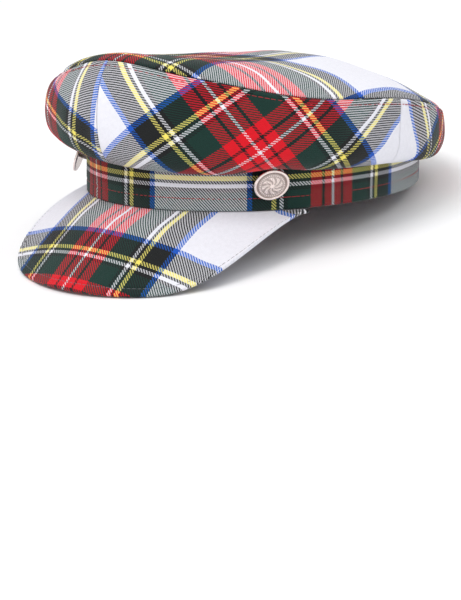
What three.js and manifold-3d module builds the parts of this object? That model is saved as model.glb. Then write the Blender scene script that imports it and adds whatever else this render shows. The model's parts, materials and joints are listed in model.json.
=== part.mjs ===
// Soft peaked cap in tartan cloth, resting on its peak and the back of its band.
//
// Each piece is first worked out as the cap is worn: the band stands upright on z = 0,
// the front of the cap faces -Y and the wearer's left is +X. The finished cap is then
// tipped back onto the surface that it rests on. Lengths are millimetres, angles degrees.
//
// Every place round the cap is given by an angle (0 front, 90 left, 180 back), an outward
// distance from the band's outer face, and a height above the band's lower edge.

import * as THREE from "three";
import { mergeVertices } from "three/addons/utils/BufferGeometryUtils.js";
import Module from "manifold-3d";

const wasm = await Module();
wasm.setup();

// Band: an upright oval strip, about 58 cm round the head
const BAND_HALF_WIDTH = 84;
const BAND_HALF_LENGTH = 104;
const BAND_HEIGHT = 24;
const BAND_WALL = 3;
const BAND_EDGE_ROUND = 0.8;
const BAND_STEPS = 64;

// Cloth and the gap that neighbouring pieces keep
const CLOTH_WALL = 1.4;
const PIECE_GAP = 0.3;

// Crown side: one row each 30 degrees. The cloth folds out over the band at height fold,
// swells to bulgeOut at bulgeUp and ends at the top seam, seamOut from the band at seamUp.
// puff is how far the top panel swells above that seam just inside it.
const CROWN = [
  { angle: 0, fold: 23, bulgeOut: 21, bulgeUp: 47, seamOut: 12, seamUp: 78, puff: 4 },
  { angle: 30, fold: 20.5, bulgeOut: 21, bulgeUp: 44, seamOut: 15.5, seamUp: 71, puff: 6.3 },
  { angle: 60, fold: 21, bulgeOut: 20, bulgeUp: 40, seamOut: 19, seamUp: 60.5, puff: 3.5 },
  { angle: 90, fold: 20, bulgeOut: 18, bulgeUp: 35.5, seamOut: 18, seamUp: 56, puff: 2 },
  { angle: 120, fold: 15.5, bulgeOut: 14.5, bulgeUp: 32, seamOut: 13, seamUp: 44.5, puff: 0 },
  { angle: 150, fold: 12, bulgeOut: 13, bulgeUp: 30, seamOut: 10, seamUp: 35, puff: 5.5 },
  { angle: 180, fold: 11.5, bulgeOut: 13, bulgeUp: 29, seamOut: 10.5, seamUp: 35, puff: 7.4 },
  { angle: 210, fold: 13, bulgeOut: 14, bulgeUp: 29, seamOut: 11.5, seamUp: 38, puff: 7.3 },
  { angle: 240, fold: 16, bulgeOut: 16, bulgeUp: 32, seamOut: 13, seamUp: 45, puff: 5.5 },
  { angle: 270, fold: 20, bulgeOut: 18.5, bulgeUp: 36, seamOut: 13.5, seamUp: 52.5, puff: 3.8 },
  { angle: 300, fold: 24, bulgeOut: 21, bulgeUp: 41, seamOut: 13.5, seamUp: 60, puff: 2.2 },
  { angle: 330, fold: 27, bulgeOut: 22, bulgeUp: 45, seamOut: 12.5, seamUp: 67, puff: 6.2 },
];
const QUARTER_STEPS = 12;
const SIDE_STEPS = { drop: 5, swell: 6, rise: 5 };

// How full the three curves of the crown's side are. The fold turns foldOut from the band.
// The reaches of the drop are millimetres, the others are shares of their curve's size.
const SIDE = { foldOut: 6.5, footOut: 1.6, footDown: 0.3, foldIn: 4.4, swellOut: 0.66, swellUp: 0.6 };
const RISE = { up: 0.55, out: 0.5, extraOut: 1, down: 0.22 };
const FOOT_CLEARANCE = 0.35;

// Top panel: a low dome, whose middle stands at domeUp. It tilts with the crown
// and falls away to the front and the back
const TOP = {
  domeUp: 73.2,
  roundness: 2.16,
  middleY: 4,
  tiltX: 0.036,
  tiltY: -0.041,
  bowX: 0.00046,
  bowY: -0.00078,
  puffAt: 0.147,
};
const TOP_STEPS = 48;
const TOP_RINGS = [0.97, 0.94, 0.91, 0.88, 0.84, 0.79, 0.72, 0.62, 0.48, 0.32, 0.16];

// Small steps for surface normals: degrees round the crown, and shares of a curve
const NORMAL_STEP = { angle: 0.05, topAngle: 0.5, along: 0.01, side: 0.0005 };
const SIDE_END = 3;

// Peak: a stiff curved plate under the front of the band
const PEAK = {
  halfAngle: 64.35,
  length: 60,
  endSharpness: 7.05,
  endPower: 1 / 1.04,
  frontLean: 0.82,
  droop: { middle: 38.4, square: 1.2, fourth: -28 },
  bend: 10,
  wall: 2.4,
};
const PEAK_STEPS = 18;
const PEAK_ROWS = 7;
const PEAK_END_CROWDING = 2.2;
const PEAK_TIP = 0.998;

// Buttons: round, with a rolled rim, held by a wire loop behind
const BUTTON = { radius: 9.6, rim: 1.1, groove: 1.5, middle: 1.2, back: 0.6, loopRadius: 2.9, wire: 0.7 };
const BUTTON_LEFT = { angle: 51.5, out: 7.4, up: 14, tip: -27, lift: 2 };
const BUTTON_RIGHT = { angle: -51.9, out: 7.7, up: 16, tip: 18, lift: 3 };
const BUTTON_STEPS = 28;
const CURVE_STEPS = 5;
const LOOP_STEPS = { round: 8, along: 18 };
const LIFT_WIDTH = 9;

const COLOURS = { cloth: 0x9fa8a8, band: 0x4f5f60, peak: 0xa8adb5, metal: 0xcabfb4 };

const radians = THREE.MathUtils.degToRad;

/** Outward direction of the band's oval at an angle. */
function outward(angle) {
  const a = radians(angle);
  return new THREE.Vector3(Math.sin(a) / BAND_HALF_WIDTH, -Math.cos(a) / BAND_HALF_LENGTH, 0).normalize();
}

/** The place at an angle, an outward distance from the band's face and a height. */
function place(angle, out, up) {
  const a = radians(angle);
  const onOval = new THREE.Vector3(BAND_HALF_WIDTH * Math.sin(a), -BAND_HALF_LENGTH * Math.cos(a), up);
  return onOval.addScaledVector(outward(angle), out);
}

/** A column of the crown table at any angle, by a smooth closed curve through its rows. */
function crownValue(column, angle) {
  const count = CROWN.length;
  const turns = (((angle % 360) + 360) % 360) / (360 / count);
  const row = Math.floor(turns) % count;
  const f = turns - Math.floor(turns);
  const value = (step) => CROWN[(row + step + count) % count][column];
  const [a, b, c, d] = [value(-1), value(0), value(1), value(2)];
  const cubic = (3 * b - a - 3 * c + d) * f ** 3 + (2 * a - 5 * b + 4 * c - d) * f ** 2;
  return 0.5 * (cubic + (c - a) * f + 2 * b);
}

/** How far the crown's fold is lifted where it lies over a button. */
function buttonLift(angle) {
  const near = (button) => {
    const apart = ((angle - button.angle + 540) % 360) - 180;
    return button.lift * Math.exp(-((apart / LIFT_WIDTH) ** 2));
  };
  return near(BUTTON_LEFT) + near(BUTTON_RIGHT);
}

/** The three curves of the crown's side at an angle, as (outward, up) points. */
function sideCurves(angle) {
  const fold = crownValue("fold", angle) + buttonLift(angle);
  const bulge = new THREE.Vector2(crownValue("bulgeOut", angle), crownValue("bulgeUp", angle));
  const seam = new THREE.Vector2(crownValue("seamOut", angle), crownValue("seamUp", angle));
  const foot = new THREE.Vector2(FOOT_CLEARANCE, BAND_HEIGHT);
  const low = new THREE.Vector2(SIDE.foldOut, fold);
  const swell = bulge.y - fold;
  const width = bulge.x - SIDE.foldOut;
  const rise = seam.y - bulge.y;
  const overhang = RISE.out * (bulge.x - seam.x) + RISE.extraOut;
  const curve = (a, b, c, d) => new THREE.CubicBezierCurve(a, b, c, d);
  const at = (from, out, up) => new THREE.Vector2(from.x + out, from.y + up);
  return [
    curve(foot, at(foot, SIDE.footOut, -SIDE.footDown), at(low, -SIDE.foldIn, 0), low),
    curve(low, at(low, SIDE.swellOut * width, 0), at(bulge, 0, -SIDE.swellUp * swell), bulge),
    curve(bulge, at(bulge, 0, RISE.up * rise), at(seam, overhang, -RISE.down * rise), seam),
  ];
}

/** The crown's outer face at an angle; along runs 0 to 3 over the three side curves. */
function sidePoint(angle, along) {
  const curves = sideCurves(angle);
  const which = Math.min(Math.floor(along), 2);
  const p = curves[which].getPoint(along - which);
  return place(angle, p.x, p.y);
}

/** The top panel's outer face: reach is 0 in the middle and 1 at the seam. */
function topPoint(angle, reach) {
  const edge = sidePoint(angle, SIDE_END);
  const middle = new THREE.Vector3(0, TOP.middleY, edge.z);
  const p = middle.lerp(edge, reach);
  const y = p.y - TOP.middleY;
  const dome = TOP.domeUp + TOP.tiltX * p.x + TOP.tiltY * y + TOP.bowX * p.x ** 2 + TOP.bowY * y ** 2;
  const inside = (1 - reach) / TOP.puffAt;
  const puff = crownValue("puff", angle) * inside * Math.exp(1 - inside);
  p.z = THREE.MathUtils.lerp(dome, edge.z, reach ** TOP.roundness) + puff;
  return p;
}

/** The peak's upper face: side runs -1 to 1 round the band, along 0 to 1 from band to edge. */
function peakPoint(side, along) {
  const angle = side * PEAK.halfAngle;
  const q = Math.abs(side);
  const length = PEAK.length * Math.max(0, 1 - q ** PEAK.endSharpness) ** PEAK.endPower;
  const ahead = outward(angle).multiplyScalar(1 - PEAK.frontLean);
  ahead.y -= PEAK.frontLean;
  ahead.normalize();
  const droop = PEAK.droop.middle + PEAK.droop.square * q ** 2 + PEAK.droop.fourth * q ** 4;
  const bend = radians(PEAK.bend);
  const start = radians(droop) - bend / 2;
  const chord = Math.sin(bend / 2) / (bend / 2);
  const forward = (Math.sin(start + bend * along) - Math.sin(start)) / (bend * chord);
  const down = (Math.cos(start) - Math.cos(start + bend * along)) / (bend * chord);
  const p = place(angle, 0, -PIECE_GAP * (1 - along)).addScaledVector(ahead, length * forward);
  p.z -= length * down;
  return p;
}

/** The outward normal of a surface point(u, v), from small steps along u and v. */
function normalAt(point, u, v, stepU, stepV) {
  const du = point(u + stepU, v).sub(point(u - stepU, v));
  const dv = point(u, v + stepV).sub(point(u, v - stepV));
  return du.cross(dv).normalize();
}

/** A mesh geometry from points and triangles, turned so that its faces point out. */
function solid(points, triangles) {
  let volume = 0;
  for (const [a, b, c] of triangles) {
    volume += points[a].dot(points[b].clone().cross(points[c]));
  }
  const outwards = volume > 0 ? triangles : triangles.map(([a, b, c]) => [a, c, b]);
  const geometry = new THREE.BufferGeometry().setFromPoints(points);
  geometry.setIndex(outwards.flat());
  geometry.computeVertexNormals();
  return geometry;
}

/**
 * A closed sheet between an outer and an inner grid of points, each a list of rows.
 * closedRound joins the last row to the first; poles are the sheet's two middle points,
 * which close the far end of every row.
 */
function sheet(outer, inner, closedRound, poles = null) {
  const rows = outer.length;
  const columns = outer[0].length;
  const points = [...outer.flat(), ...inner.flat()];
  const out = (i, j) => (i % rows) * columns + j;
  const inn = (i, j) => rows * columns + out(i, j);
  const triangles = [];
  const quad = (a, b, c, d) => triangles.push([a, b, c], [a, c, d]);
  const spans = closedRound ? rows : rows - 1;
  for (let i = 0; i < spans; i += 1) {
    for (let j = 0; j < columns - 1; j += 1) {
      quad(out(i, j), out(i + 1, j), out(i + 1, j + 1), out(i, j + 1));
      quad(inn(i, j), inn(i, j + 1), inn(i + 1, j + 1), inn(i + 1, j));
    }
    quad(inn(i, 0), inn(i + 1, 0), out(i + 1, 0), out(i, 0));
    const last = columns - 1;
    if (poles) {
      const pole = points.length;
      triangles.push([out(i, last), out(i + 1, last), pole], [inn(i + 1, last), inn(i, last), pole + 1]);
    } else {
      quad(out(i, last), out(i + 1, last), inn(i + 1, last), inn(i, last));
    }
  }
  if (poles) {
    points.push(...poles);
  }
  if (!closedRound) {
    for (let j = 0; j < columns - 1; j += 1) {
      quad(out(0, j), out(0, j + 1), inn(0, j + 1), inn(0, j));
      quad(out(rows - 1, j + 1), out(rows - 1, j), inn(rows - 1, j), inn(rows - 1, j + 1));
    }
  }
  return solid(points, triangles);
}

/** Step from the outer to the inner edge of the top seam, halfway between both panels. */
function seamStep(angle) {
  const { angle: turn, along } = NORMAL_STEP;
  const sideNormal = normalAt(sidePoint, angle, SIDE_END - along, turn, along);
  const topNormal = normalAt(topPoint, angle, 1 - along, turn, -along);
  const between = sideNormal.clone().add(topNormal).normalize();
  return between.multiplyScalar(-CLOTH_WALL / between.dot(sideNormal));
}

/** One quarter of the crown's side, between two seam angles. */
function crownQuarter(from, to) {
  const trim = (PIECE_GAP / 2 / BAND_HALF_LENGTH) * (180 / Math.PI);
  const { drop, swell, rise } = SIDE_STEPS;
  const stations = [];
  for (let k = 0; k <= drop; k += 1) {
    stations.push(k / drop);
  }
  for (let k = 1; k <= swell; k += 1) {
    stations.push(1 + k / swell);
  }
  for (let k = 1; k <= rise; k += 1) {
    stations.push(2 + k / rise);
  }
  const outer = [];
  const inner = [];
  for (let i = 0; i <= QUARTER_STEPS; i += 1) {
    const angle = THREE.MathUtils.lerp(from + trim, to - trim, i / QUARTER_STEPS);
    const line = stations.map((along) => sidePoint(angle, along));
    const under = stations.map((along, k) => {
      const inside = THREE.MathUtils.clamp(along, NORMAL_STEP.along, SIDE_END - NORMAL_STEP.along);
      const normal = normalAt(sidePoint, angle, inside, NORMAL_STEP.angle, NORMAL_STEP.along);
      return line[k].clone().addScaledVector(normal, -CLOTH_WALL);
    });
    const last = stations.length - 1;
    under[last] = line[last].clone().add(seamStep(angle));
    outer.push(line);
    inner.push(under);
  }
  return sheet(outer, inner, false);
}

/** The round top panel. */
function crownTop() {
  const edge = 1 - PIECE_GAP / BAND_HALF_WIDTH;
  const outer = [];
  const inner = [];
  const under = (angle, reach) => {
    const normal = normalAt(topPoint, angle, reach, NORMAL_STEP.topAngle, -NORMAL_STEP.along);
    return topPoint(angle, reach).addScaledVector(normal, -CLOTH_WALL);
  };
  for (let i = 0; i < TOP_STEPS; i += 1) {
    const angle = (360 * i) / TOP_STEPS;
    outer.push([edge, ...TOP_RINGS].map((reach) => topPoint(angle, reach)));
    inner.push([topPoint(angle, edge).add(seamStep(angle)), ...TOP_RINGS.map((reach) => under(angle, reach))]);
  }
  const middle = topPoint(0, 0);
  const below = middle.clone();
  below.z -= CLOTH_WALL;
  return sheet(outer, inner, true, [middle, below]);
}

/** The band: an oval ring whose section has rounded edges and a flat lower rim. */
function band() {
  const r = BAND_EDGE_ROUND;
  const corner = r * (1 - Math.SQRT1_2);
  const outerFace = [
    [-r, 0],
    [-corner, corner],
    [0, r],
    [0, BAND_HEIGHT / 2],
    [0, BAND_HEIGHT - r],
    [-corner, BAND_HEIGHT - corner],
    [-r, BAND_HEIGHT],
  ];
  const rows = (section) => {
    const lines = [];
    for (let i = 0; i < BAND_STEPS; i += 1) {
      const angle = (360 * (i + 0.5)) / BAND_STEPS;
      lines.push(section.map(([out, up]) => place(angle, out, up)));
    }
    return lines;
  };
  const innerFace = outerFace.map(([out, up]) => [-BAND_WALL - out, up]);
  return sheet(rows(outerFace), rows(innerFace), true);
}

/** The peak: its upper face follows peakPoint and its lower face lies one wall below. */
function peak() {
  const outer = [];
  const inner = [];
  for (let i = -PEAK_STEPS; i <= PEAK_STEPS; i += 1) {
    const crowded = 1 - (1 - Math.abs(i) / PEAK_STEPS) ** PEAK_END_CROWDING;
    const side = Math.sign(i) * PEAK_TIP * crowded;
    const line = [];
    const under = [];
    for (let k = 0; k <= PEAK_ROWS; k += 1) {
      const along = k / PEAK_ROWS;
      const inside = Math.max(along, 2 * NORMAL_STEP.along);
      const normal = normalAt(peakPoint, side, inside, NORMAL_STEP.side, NORMAL_STEP.along);
      const p = peakPoint(side, along);
      line.push(p);
      if (k === 0) {
        under.push(p.clone().setZ(p.z - PEAK.wall));
      } else {
        under.push(p.clone().addScaledVector(normal, normal.z > 0 ? -PEAK.wall : PEAK.wall));
      }
    }
    outer.push(line);
    inner.push(under);
  }
  return sheet(outer, inner, false);
}

/** A closed geometry as a manifold-3d solid. */
function toManifold(geometry) {
  const bare = geometry.clone();
  bare.deleteAttribute("normal");
  bare.deleteAttribute("uv");
  const merged = mergeVertices(bare, 1e-4);
  const index = merged.index.array;
  const triangles = [];
  for (let k = 0; k < index.length; k += 3) {
    const [a, b, c] = [index[k], index[k + 1], index[k + 2]];
    if (a !== b && b !== c && c !== a) {
      triangles.push(a, b, c);
    }
  }
  const mesh = new wasm.Mesh({
    numProp: 3,
    vertProperties: new Float32Array(merged.attributes.position.array),
    triVerts: new Uint32Array(triangles),
  });
  return new wasm.Manifold(mesh);
}

/** A button facing +Z with the middle of its face at the origin, joined to its wire loop. */
function buttonGeometry() {
  const { radius, rim, groove, middle, back, loopRadius, wire } = BUTTON;
  const profile = new THREE.Path();
  profile.moveTo(0, -back - middle);
  profile.lineTo(radius - rim, -back - middle);
  profile.absarc(radius - rim, -middle, rim, -Math.PI / 2, Math.PI, false);
  profile.lineTo(radius - 2 * rim - groove / 2, -middle);
  profile.lineTo(radius - 2 * rim - groove, -middle / 2);
  profile.quadraticCurveTo(radius / 2, 0, 0, 0);
  const points = profile.getPoints(CURVE_STEPS);
  const disc = new THREE.LatheGeometry(points, BUTTON_STEPS);
  disc.rotateX(Math.PI / 2);
  const loop = new THREE.TorusGeometry(loopRadius, wire, LOOP_STEPS.round, LOOP_STEPS.along);
  loop.rotateX(Math.PI / 2);
  loop.translate(0, 0, -back - middle - loopRadius + wire);
  const joined = toManifold(disc).add(toManifold(loop)).getMesh();
  const geometry = new THREE.BufferGeometry();
  geometry.setAttribute("position", new THREE.BufferAttribute(new Float32Array(joined.vertProperties), 3));
  geometry.setIndex(new THREE.BufferAttribute(new Uint32Array(joined.triVerts), 1));
  geometry.computeVertexNormals();
  return geometry;
}

/** A button set on the band, its face tipped up or down from the band's outward direction. */
function button(seat) {
  const face = outward(seat.angle).multiplyScalar(Math.cos(radians(seat.tip)));
  face.z = Math.sin(radians(seat.tip));
  const across = new THREE.Vector3(0, 0, 1).cross(face).normalize();
  const upwards = face.clone().cross(across);
  const turn = new THREE.Matrix4().makeBasis(across, upwards, face);
  turn.setPosition(place(seat.angle, seat.out, seat.up));
  return buttonGeometry().applyMatrix4(turn);
}

/** A plain material; the looks are made elsewhere. */
function material(colour, roughness, metalness) {
  return new THREE.MeshStandardMaterial({ color: colour, roughness, metalness });
}

/** The lowest height of a geometry's points once the cap is tipped back by an angle. */
function lowest(geometry, tip) {
  const position = geometry.attributes.position;
  let low = Infinity;
  for (let k = 0; k < position.count; k += 1) {
    low = Math.min(low, position.getZ(k) * Math.cos(tip) - position.getY(k) * Math.sin(tip));
  }
  return low;
}

/** The tip at which the peak and the back of the band touch one level surface. */
function restingTip(peakGeometry, bandGeometry) {
  let [low, high] = [0, radians(30)];
  for (let k = 0; k < 50; k += 1) {
    const middle = (low + high) / 2;
    if (lowest(peakGeometry, middle) < lowest(bandGeometry, middle)) {
      low = middle;
    } else {
      high = middle;
    }
  }
  return low;
}

const cloth = material(COLOURS.cloth, 0.9, 0);
const metal = material(COLOURS.metal, 0.35, 1);
const pieces = [
  ["crown_top", crownTop(), cloth],
  ["crown_quarter_front_left", crownQuarter(0, 90), cloth],
  ["crown_quarter_back_left", crownQuarter(90, 180), cloth],
  ["crown_quarter_back_right", crownQuarter(180, 270), cloth],
  ["crown_quarter_front_right", crownQuarter(270, 360), cloth],
  ["band", band(), material(COLOURS.band, 0.9, 0)],
  ["peak", peak(), material(COLOURS.peak, 0.9, 0)],
  ["button_left", button(BUTTON_LEFT), metal],
  ["button_right", button(BUTTON_RIGHT), metal],
];

const geometryOf = (name) => pieces.find(([piece]) => piece === name)[1];
const tip = restingTip(geometryOf("peak"), geometryOf("band"));
const box = new THREE.Box3();
for (const [, geometry] of pieces) {
  geometry.rotateX(-tip);
  geometry.computeBoundingBox();
  box.union(geometry.boundingBox);
}

// The finished cap stands with the middle of its footprint at the origin
const group = new THREE.Group();
for (const [name, geometry, finish] of pieces) {
  geometry.translate(-(box.min.x + box.max.x) / 2, -(box.min.y + box.max.y) / 2, -box.min.z);
  const mesh = new THREE.Mesh(geometry, finish);
  mesh.name = name;
  group.add(mesh);
}

export default group;
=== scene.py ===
"""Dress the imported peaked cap: tartan cloth, seams, topstitching and metal buttons.

Shapes are worked out as the cap is worn, in millimetres and degrees: the band stands
upright on z = 0, the front of the cap faces -Y and the wearer's left is +X. A Placement
then tips every point back onto the surface that the cap rests on, in the frame's metres.
A place round the cap is an angle (0 front, 90 left, 180 back), an outward distance from
the band's outer face and a height above the band's lower edge.
"""
import json
import logging
import math
from dataclasses import dataclass, field
from enum import Enum
from typing import Callable, Optional, Union

import bmesh
import bpy
import numpy as np
from mathutils import Matrix, Vector


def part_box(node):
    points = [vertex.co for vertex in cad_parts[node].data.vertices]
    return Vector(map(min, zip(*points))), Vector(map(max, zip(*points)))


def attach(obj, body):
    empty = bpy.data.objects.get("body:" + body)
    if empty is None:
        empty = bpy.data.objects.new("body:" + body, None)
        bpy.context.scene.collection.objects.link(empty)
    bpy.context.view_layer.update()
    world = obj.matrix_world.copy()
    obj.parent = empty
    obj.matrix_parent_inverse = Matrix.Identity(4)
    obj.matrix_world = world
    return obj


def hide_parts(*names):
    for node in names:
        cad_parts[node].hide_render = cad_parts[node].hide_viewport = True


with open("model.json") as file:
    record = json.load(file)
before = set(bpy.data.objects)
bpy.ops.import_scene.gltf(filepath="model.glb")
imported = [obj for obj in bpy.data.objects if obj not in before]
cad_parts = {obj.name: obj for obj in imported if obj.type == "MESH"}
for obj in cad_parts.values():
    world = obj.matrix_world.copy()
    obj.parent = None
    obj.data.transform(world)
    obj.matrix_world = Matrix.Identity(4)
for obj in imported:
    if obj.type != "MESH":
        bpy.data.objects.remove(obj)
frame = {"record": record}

Array = np.ndarray
LOG = logging.getLogger("peaked_cap")
METRE = 0.001
CLOTH_MAP = "cloth"
RELIEF = "relief"
FACING = "facing"
# in metres
MERGE_DISTANCE = 1e-7


# Node building


@dataclass(frozen=True)
class Signal:
    """A socket that takes part in arithmetic: each operator adds its Math node."""

    graph: "NodeGraph"
    socket: bpy.types.NodeSocket

    def _math(self, operation: str, *values: "Number") -> "Signal":
        """The result of one Math node on this socket and other values."""
        inputs = {0: self}
        inputs.update({k + 1: value for k, value in enumerate(values)})
        node = self.graph.add("ShaderNodeMath", {"operation": operation}, inputs)
        return self.graph.out(node)

    def _reflected(self, operation: str, value: "Number") -> "Signal":
        """The result of one Math node with this socket second."""
        node = self.graph.add("ShaderNodeMath", {"operation": operation}, {0: value, 1: self})
        return self.graph.out(node)

    def __add__(self, other: "Number") -> "Signal":
        """self + other."""
        return self._math("ADD", other)

    def __radd__(self, other: "Number") -> "Signal":
        """other + self."""
        return self._reflected("ADD", other)

    def __sub__(self, other: "Number") -> "Signal":
        """self - other."""
        return self._math("SUBTRACT", other)

    def __rsub__(self, other: "Number") -> "Signal":
        """other - self."""
        return self._reflected("SUBTRACT", other)

    def __mul__(self, other: "Number") -> "Signal":
        """self * other."""
        return self._math("MULTIPLY", other)

    def __rmul__(self, other: "Number") -> "Signal":
        """other * self."""
        return self._reflected("MULTIPLY", other)

    def __truediv__(self, other: "Number") -> "Signal":
        """self / other."""
        return self._math("DIVIDE", other)

    def __mod__(self, other: "Number") -> "Signal":
        """self modulo other, never negative."""
        return self._math("FLOORED_MODULO", other)

    def __lt__(self, other: "Number") -> "Signal":
        """1 where self is less than other, and 0 elsewhere."""
        return self._math("LESS_THAN", other)

    def __abs__(self) -> "Signal":
        """The size of self without its sign."""
        return self._math("ABSOLUTE")

    def floor(self) -> "Signal":
        """The whole number at or below self."""
        return self._math("FLOOR")

    def fraction(self) -> "Signal":
        """What is left of self above its floor."""
        return self._math("FRACT")

    def pingpong(self, scale: float) -> "Signal":
        """self going from 0 to scale and back, again and again."""
        return self._math("PINGPONG", scale)


Number = Union[float, int, Signal]
Socketable = Union[Number, tuple, bpy.types.NodeSocket, bpy.types.Material, str, bool]


class NodeGraph:
    """Adds nodes to a material's tree or to a geometry tree."""

    def __init__(self, tree: bpy.types.NodeTree) -> None:
        """Start on a tree."""
        self.tree = tree

    def add(
        self,
        kind: str,
        settings: Optional[dict] = None,
        inputs: Optional[dict[Union[int, str], Socketable]] = None,
    ) -> bpy.types.Node:
        """Add a node of any type.

        Args:
            kind: the node's type.
            settings: its own properties, set before its sockets. stops are the
                (position, colour) pairs of a colour ramp.
            inputs: values or links for its sockets, by name or number.

        Returns:
            The new node.
        """
        node = self.tree.nodes.new(kind)
        for name, value in (settings or {}).items():
            if name == "stops":
                self._set_stops(node.color_ramp, value)
            else:
                setattr(node, name, value)
        self.feed(node, inputs or {})
        return node

    def feed(self, node: bpy.types.Node, inputs: dict[Union[int, str], Socketable]) -> None:
        """Set or link a node's sockets, by name or number."""
        for name, value in inputs.items():
            if isinstance(value, Signal):
                self.tree.links.new(value.socket, node.inputs[name])
            elif isinstance(value, bpy.types.NodeSocket):
                self.tree.links.new(value, node.inputs[name])
            else:
                node.inputs[name].default_value = value

    @staticmethod
    def _set_stops(ramp: bpy.types.ColorRamp, stops: list[tuple[float, tuple]]) -> None:
        """Give a ramp hard-edged stops."""
        ramp.interpolation = "CONSTANT"
        while len(ramp.elements) < len(stops):
            ramp.elements.new(1.0)
        for element, (position, colour) in zip(ramp.elements, stops):
            element.position = position
            element.color = colour

    def out(self, node: bpy.types.Node, name: Union[int, str] = 0) -> Signal:
        """An output socket as a Signal."""
        return Signal(self, node.outputs[name])

    def blend(
        self, factor: Number, first: Socketable, second: Socketable, how: str = "MIX"
    ) -> Signal:
        """Mix two colours.

        Args:
            factor: 0 gives first and 1 gives second.
            first: a colour or a colour socket.
            second: a colour or a colour socket.
            how: the blend type.

        Returns:
            The mixed colour.
        """
        settings = {"data_type": "RGBA", "blend_type": how, "clamp_factor": True}
        node = self.add("ShaderNodeMix", settings, {0: factor, 6: first, 7: second})
        return self.out(node, 2)


def srgb(red: int, green: int, blue: int) -> tuple[float, float, float, float]:
    """A screen colour of 0 to 255 as a linear colour with full alpha."""

    def linear(value: int) -> float:
        """One channel."""
        share = value / 255
        return share / 12.92 if share <= 0.04045 else ((share + 0.055) / 1.055) ** 2.4

    return (linear(red), linear(green), linear(blue), 1.0)


# Finishes


def new_surface(name: str) -> tuple[bpy.types.Material, NodeGraph, bpy.types.Node]:
    """A new material with its graph and its main shader."""
    material = bpy.data.materials.new(name)
    material.use_nodes = True
    return material, NodeGraph(material.node_tree), material.node_tree.nodes["Principled BSDF"]


def object_noise(graph: NodeGraph, scale: float, detail: float) -> Signal:
    """Noise from 0 to 1 that stays with the piece."""
    place = graph.add("ShaderNodeTexCoord")
    inputs = {"Vector": graph.out(place, "Object"), "Scale": scale, "Detail": detail}
    return graph.out(graph.add("ShaderNodeTexNoise", inputs=inputs), "Fac")


class Yarn(Enum):
    """The dyed yarns of the cloth, as screen colours."""

    WHITE = (240, 240, 246)
    BLUE = (22, 100, 202)
    BLACK = (22, 26, 28)
    YELLOW = (246, 234, 124)
    GREEN = (18, 62, 54)
    RED = (226, 14, 40)

    @property
    def colour(self) -> tuple[float, float, float, float]:
        """The yarn's linear colour."""
        return srgb(*self.value)


@dataclass(frozen=True)
class Stripe:
    """One stripe of the pattern."""

    yarn: Yarn
    width: int


SETT = (
    Stripe(Yarn.WHITE, 1),
    Stripe(Yarn.RED, 5),
    Stripe(Yarn.BLACK, 2),
    Stripe(Yarn.RED, 7),
    Stripe(Yarn.GREEN, 15),
    Stripe(Yarn.BLACK, 2),
    Stripe(Yarn.WHITE, 3),
    Stripe(Yarn.BLACK, 2),
    Stripe(Yarn.YELLOW, 3),
    Stripe(Yarn.BLACK, 12),
    Stripe(Yarn.BLUE, 4),
    Stripe(Yarn.WHITE, 31),
)
HALF_SETT = sum(stripe.width for stripe in SETT)
# one unit of stripe width, in millimetres
UNIT = 0.842


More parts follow.
